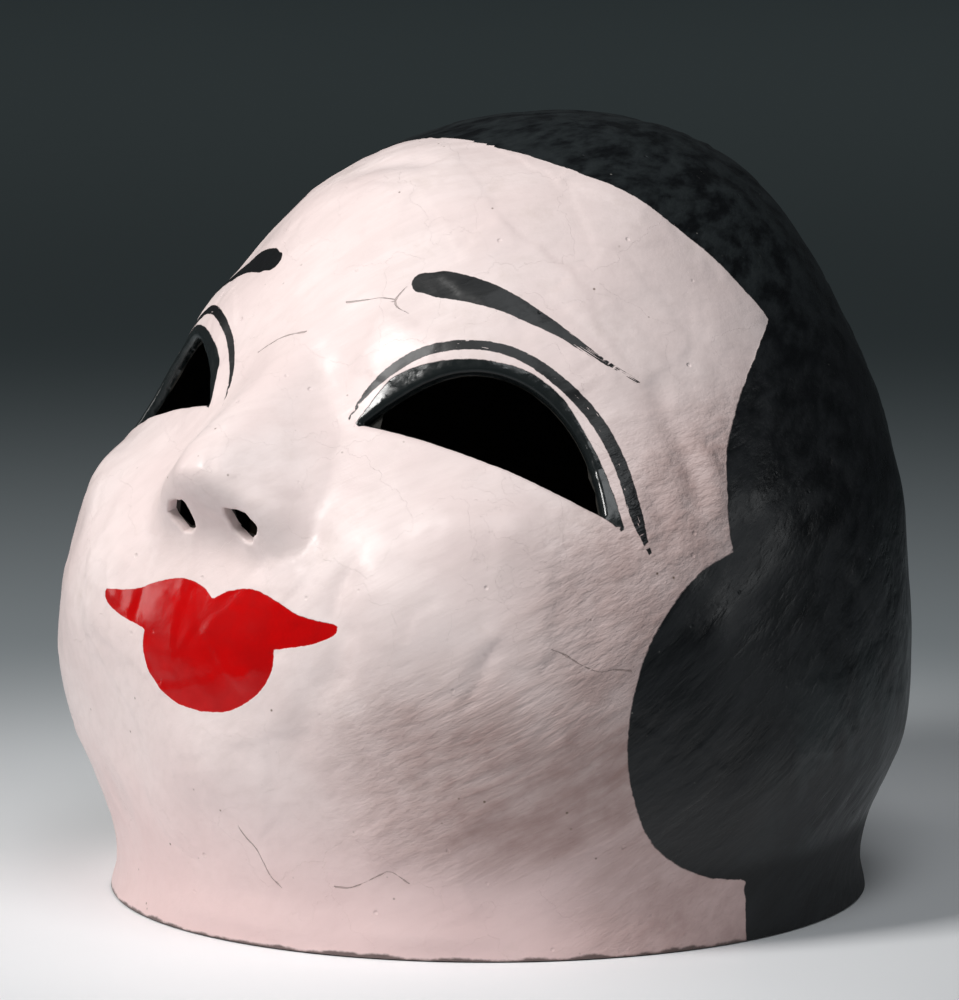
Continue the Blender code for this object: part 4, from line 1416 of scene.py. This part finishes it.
def make_anchor_patch(word, azimuth):
    columns, rows = PATCH_GRID
    middle, normal = on_level(sum(PATCH_HEIGHTS) / 2.0, azimuth)
    turn = math.radians(azimuth)
    level = np.array([math.cos(turn), math.sin(turn), 0.0])
    side = np.linspace(-0.5, 0.5, columns)
    rise = np.linspace(0.0, 1.0, rows)
    half = PATCH_WIDTH / 2.0 - TEAR_INSET - TEAR_DEPTH * np.abs(torn(rows, 4.0, 75))
    low = PATCH_HEIGHTS[0] + TEAR_INSET + PATCH_TEAR_DEPTH * np.abs(torn(columns, 4.0, 76))
    high = PATCH_HEIGHTS[1] - TEAR_INSET - PATCH_TEAR_DEPTH * np.abs(torn(columns, 4.0, 77))
    heights = low[:, None] + (high - low)[:, None] * rise + normal[2] * (STRIP_DEPTH + STRIP_THICKNESS / 2.0)
    across = side[:, None] * 2.0 * half

    def measure(points):
        return np.column_stack([points[:, 2], (points - middle) @ level])

    target = np.column_stack([heights.ravel(), across.ravel()])
    start = np.full(len(target), math.radians(azimuth))
    share, spread = solve_form(target, share_of_height(heights.ravel()), start, measure)
    shape = heights.shape
    patch = inner_layer(f"pasted_patch_{word}", share.reshape(shape), spread.reshape(shape))
    place_piece(patch, f"anchor_patch_{word}")


def swell(piece):
    """Swells a closed piece by cloth simulation; no point moves further than SWELL_CAP."""
    mesh = piece.data
    remesh = piece.modifiers.new("remesh", "REMESH")
    remesh.mode = "VOXEL"
    remesh.voxel_size = SWELL_VOXEL * MM
    bpy.context.view_layer.update()
    ready = bpy.data.meshes.new_from_object(piece.evaluated_get(bpy.context.evaluated_depsgraph_get()))
    piece.modifiers.clear()
    piece.data = ready
    start = np.empty(3 * len(ready.vertices))
    ready.vertices.foreach_get("co", start)
    cloth = piece.modifiers.new("cloth", "CLOTH")
    cloth.settings.use_pressure = True
    cloth.settings.uniform_pressure_force = SWELL_PRESSURE
    cloth.settings.effector_weights.gravity = 0.0
    scene = bpy.context.scene
    for step in range(1, CLOTH_FRAMES + 1):
        scene.frame_set(step)
    moved = np.empty_like(start)
    made = piece.evaluated_get(bpy.context.evaluated_depsgraph_get()).data
    made.vertices.foreach_get("co", moved)
    travel = (moved - start).reshape(-1, 3)
    length = np.linalg.norm(travel, axis=1, keepdims=True)
    travel *= np.minimum(1.0, SWELL_CAP * MM / np.maximum(length, 1e-9))
    piece.modifiers.clear()
    ready.vertices.foreach_set("co", start + travel.ravel())
    scene.frame_set(1)
    bpy.data.meshes.remove(mesh)


def finish_pad(piece, crease):
    """One subdivision, then the sewn channels pressed in by crease(points) in mm."""
    bm = bmesh.new()
    bm.from_mesh(piece.data)
    bmesh.ops.subdivide_edges(bm, edges=bm.edges, cuts=1, use_grid_fill=True, smooth=0.5)
    bm.normal_update()
    places = np.array([vert.co for vert in bm.verts]) / MM - (0.0, FRAME_SHIFT, 0.0)
    normals = np.array([vert.normal for vert in bm.verts])
    places = places - normals * crease(places)[:, None]
    for vert, place in zip(bm.verts, world(places)):
        vert.co = place
    bm.to_mesh(piece.data)
    bm.free()
    piece.data.materials.clear()
    piece.data.materials.append(pad_cloth)
    piece.data.shade_smooth()
    return piece


def make_ring_pad():
    """A quilted band: the cushion swells between upright sewn channels and thins at its bound edges."""
    turns = np.linspace(0.0, 2.0 * math.pi, PAD_GRID[0], endpoint=False)
    inner = RING_INNER - GAP - PAD_THICKNESS
    rise = np.linspace(-1.0, 1.0, PAD_GRID[1])
    crown = np.sqrt(np.clip(1.0 - rise**4, 0.0, 1.0))
    half = (PAD_THICKNESS / 2.0 - 0.9) * (0.35 + 0.65 * crown)
    middle = inner + PAD_THICKNESS / 2.0
    unit = np.column_stack([np.cos(turns) * middle[0], np.sin(turns) * middle[1], np.zeros(len(turns))])
    outward = np.column_stack([np.cos(turns) / middle[0], np.sin(turns) / middle[1], np.zeros(len(turns))])
    outward /= np.linalg.norm(outward, axis=1, keepdims=True)
    up = (PAD_TALL / 2.0 - 0.8) * rise
    base = RING_CENTRE + unit[:, None, :] + up[None, :, None] * np.array([0.0, 0.0, 1.0])
    out = base + outward[:, None, :] * half[None, :, None]
    into = base - outward[:, None, :] * half[None, :, None]
    pad = closed_grid("quilted_ring_pad", out, into, [pad_cloth], wrap=True)
    swell(pad)

    def crease(points):
        local = points - RING_CENTRE
        turn = np.arctan2(local[:, 1] / middle[1], local[:, 0] / middle[0])
        channel = np.abs((turn * PAD_PANELS / (2.0 * math.pi) + 0.5) % 1.0 - 0.5) * 2.0
        sewn = np.exp(-(channel / 0.10)**2) * smooth_step(1.0, 0.80, np.abs(local[:, 2]) / (PAD_TALL / 2.0))
        binding = smooth_step(0.9, 0.2, np.abs(np.abs(local[:, 2]) - (PAD_TALL / 2.0 - PAD_BINDING)))
        puckers = 0.14 * noise(points, 4.0, 81) * np.exp(-(channel / 0.35)**2)
        return sewn + 0.30 * binding + puckers

    pad = place_piece(finish_pad(pad, crease), "ring_pad")


def make_crown_pad():
    """A round cushion of eight gores, bowed like the tapes that hold it."""
    half = CROWN_PAD_THICKNESS / 2.0
    middle_height = RING_CENTRE[2] + RING_TALL / 2.0 + STRAP_RISE - STRAP_THICKNESS - GAP - half
    centre = np.array([RING_CENTRE[0], RING_CENTRE[1], middle_height])
    bm = bmesh.new()
    bmesh.ops.create_uvsphere(bm, u_segments=96, v_segments=36, radius=1.0)
    unit = np.array([vert.co for vert in bm.verts])
    faces = [[vert.index for vert in face.verts] for face in bm.faces]
    bm.free()
    radius = CROWN_PAD_RADIUS - 1.0
    flat = unit[:, :2] * radius
    droop = STRAP_RISE * (1.0 - np.sqrt(1.0 - (flat**2).sum(axis=1) / CROWN_BOW**2))
    points = np.column_stack([flat, unit[:, 2] * (half - 0.8) - droop]) + centre
    mesh = bpy.data.meshes.new("gored_crown_pad")
    mesh.from_pydata(world(points).tolist(), [], faces)
    pad = add_object("gored_crown_pad", mesh)
    swell(pad)

    def crease(points):
        local = points - centre
        turn = np.arctan2(local[:, 1], local[:, 0])
        away = np.hypot(local[:, 0], local[:, 1])
        span = 2.0 * math.pi / GORES
        gore = np.abs((turn / span) % 1.0 - 0.5)
        seam = np.exp(-((0.5 - gore) * np.maximum(away, 5.0) * span / 0.9)**2)
        piping = smooth_step(3.0, 1.0, np.abs(away - (radius - PIPING_INSET)))
        button = np.exp(-(away / 4.0)**2)
        puckers = 0.08 * noise(points, 4.0, 82)
        return 0.55 * seam * smooth_step(2.0, 8.0, away) + 0.35 * piping + button + puckers

    pad = place_piece(finish_pad(pad, crease), "crown_pad")


def make_tapes():
    above = STRAP_RISE + STRAP_THICKNESS + 2.0 * GAP
    for name, along, reach, rise in (("cross", (1.0, 0.0, 0.0), RING_INNER[0], STRAP_RISE),
                                     ("long", (0.0, 1.0, 0.0), RING_INNER[1], above)):
        sideways = np.cross(along, (0.0, 0.0, 1.0))
        made, length = tape(f"woven_crown_tape_{name}", crown_path(along, reach, rise), sideways, STRAP_WIDTH,
                            [tape_cloth])
        place_piece(made, f"crown_strap_{name}")
    for word, azimuth in HANGERS.items():
        path, sideways = hanger_path(azimuth)
        made, length = tape(f"woven_hanger_{word}", path, sideways, HANGER_WIDTH, [tape_cloth])
        place_piece(made, f"hanger_{word}")


pad_cloth = woven("indigo_pad_cloth", (0.030, 0.042, 0.085), (0.050, 0.066, 0.12), 0.55, 0.25)
tape_cloth = woven("cotton_tape", (0.50, 0.45, 0.34), (0.40, 0.35, 0.25), 0.8, 0.15)
make_ring_pad()
make_crown_pad()
make_tapes()
make_collar_strip()
make_seam_strip()
for word, azimuth in HANGERS.items():
    make_anchor_patch(word, azimuth)
for node in ("rim_hoop", "head_ring"):
    frame["nodes"][node].material_slots[0].material = bamboo

# ---------------------------------------------------------------- light, floor and camera
TARGET = np.array([0.0, FRAME_SHIFT, 152.0])
AZIMUTH = 42.0
ELEVATION = 9.0
DISTANCE = 3000.0
LENS = 281.5
AIM_SHIFT = (-3.4, 3.1)
LIGHT_AIM = np.array([0.0, 0.0, 150.0])


def direction(azimuth, elevation):
    """Unit vector from the object towards a place at that azimuth and elevation; azimuth 0 is in front."""
    a, e = math.radians(azimuth), math.radians(elevation)
    return np.array([math.sin(a) * math.cos(e), -math.cos(a) * math.cos(e), math.sin(e)])


def look_from(item, place, target):
    item.location = Vector(place * MM)
    item.rotation_euler = Vector((target - place) * MM).to_track_quat("-Z", "Y").to_euler()


def place_camera():
    data = bpy.data.cameras.new("photo_camera")
    data.sensor_fit = "HORIZONTAL"
    data.sensor_width = 36.0
    data.lens = LENS
    data.clip_end = 100.0
    camera = add_object("photo_camera", data)
    back = direction(AZIMUTH, ELEVATION)
    right = np.array([math.cos(math.radians(AZIMUTH)), math.sin(math.radians(AZIMUTH)), 0.0])
    up = np.cross(back, right)
    target = TARGET + AIM_SHIFT[0] * right + AIM_SHIFT[1] * up
    look_from(camera, target + DISTANCE * back, target)
    bpy.context.scene.camera = camera


def soft_light(name, azimuth, elevation, distance, size, power, colour):
    data = bpy.data.lights.new(name, "AREA")
    data.shape = "RECTANGLE"
    data.size, data.size_y = size
    data.energy = power
    data.color = colour
    look_from(add_object(name, data), LIGHT_AIM + direction(azimuth, elevation) * distance, LIGHT_AIM)


def studio_floor():
    """A pale table with a painted pool of light round the object: its colour darkens into painted shade away
    from the object, then lightens to slate far off.
    """
    s = Shader("studio_floor")
    length = s.node("ShaderNodeVectorMath", operation="LENGTH")
    s.feed(length.inputs[0], s.place)
    reach = length.outputs["Value"]
    # painted light and shade: pale near the object, darker further out
    colour = s.mix(s.ramp(reach, 0.16, 0.62), (0.86, 0.87, 0.89), (0.34, 0.375, 0.395))
    colour = s.mix(s.ramp(reach, 0.50, 1.7), colour, (0.100, 0.128, 0.135))
    colour = s.mix(s.ramp(reach, 1.5, 4.0), colour, (0.45, 0.56, 0.57))
    grain = s.noise(3.0, 2.0)
    s.finish(colour, 0.55, s.bump(grain, 0.02), IOR=1.4)
    bm = bmesh.new()
    bmesh.ops.create_circle(bm, cap_ends=True, segments=96, radius=9.0)
    mesh = bpy.data.meshes.new("studio_floor")
    bm.to_mesh(mesh)
    bm.free()
    mesh.materials.append(s.material)
    floor = add_object("studio_floor", mesh)
    floor.location.z = -0.5 * MM


def studio_world():
    made = bpy.data.worlds.new("studio")
    made.use_nodes = True
    background = made.node_tree.nodes["Background"]
    background.inputs["Color"].default_value = (0.42, 0.47, 0.50, 1.0)
    background.inputs["Strength"].default_value = 0.055
    bpy.context.scene.world = made
    bpy.context.scene.view_settings.view_transform = "Standard"


place_camera()
studio_floor()
studio_world()
soft_light("key_softbox", -7.0, 43.0, 1300.0, (0.30, 0.38), 14.0, (1.0, 0.985, 0.965))
soft_light("top_fill", 62.0, 62.0, 2000.0, (0.9, 0.9), 11.5, (0.95, 0.98, 1.0))
soft_light("left_fill", -62.0, 16.0, 2200.0, (0.8, 1.0), 8.0, (1.0, 0.99, 0.97))
soft_light("back_strip", 118.0, 14.0, 2200.0, (0.5, 1.2), 4.0, (0.95, 0.98, 1.0))
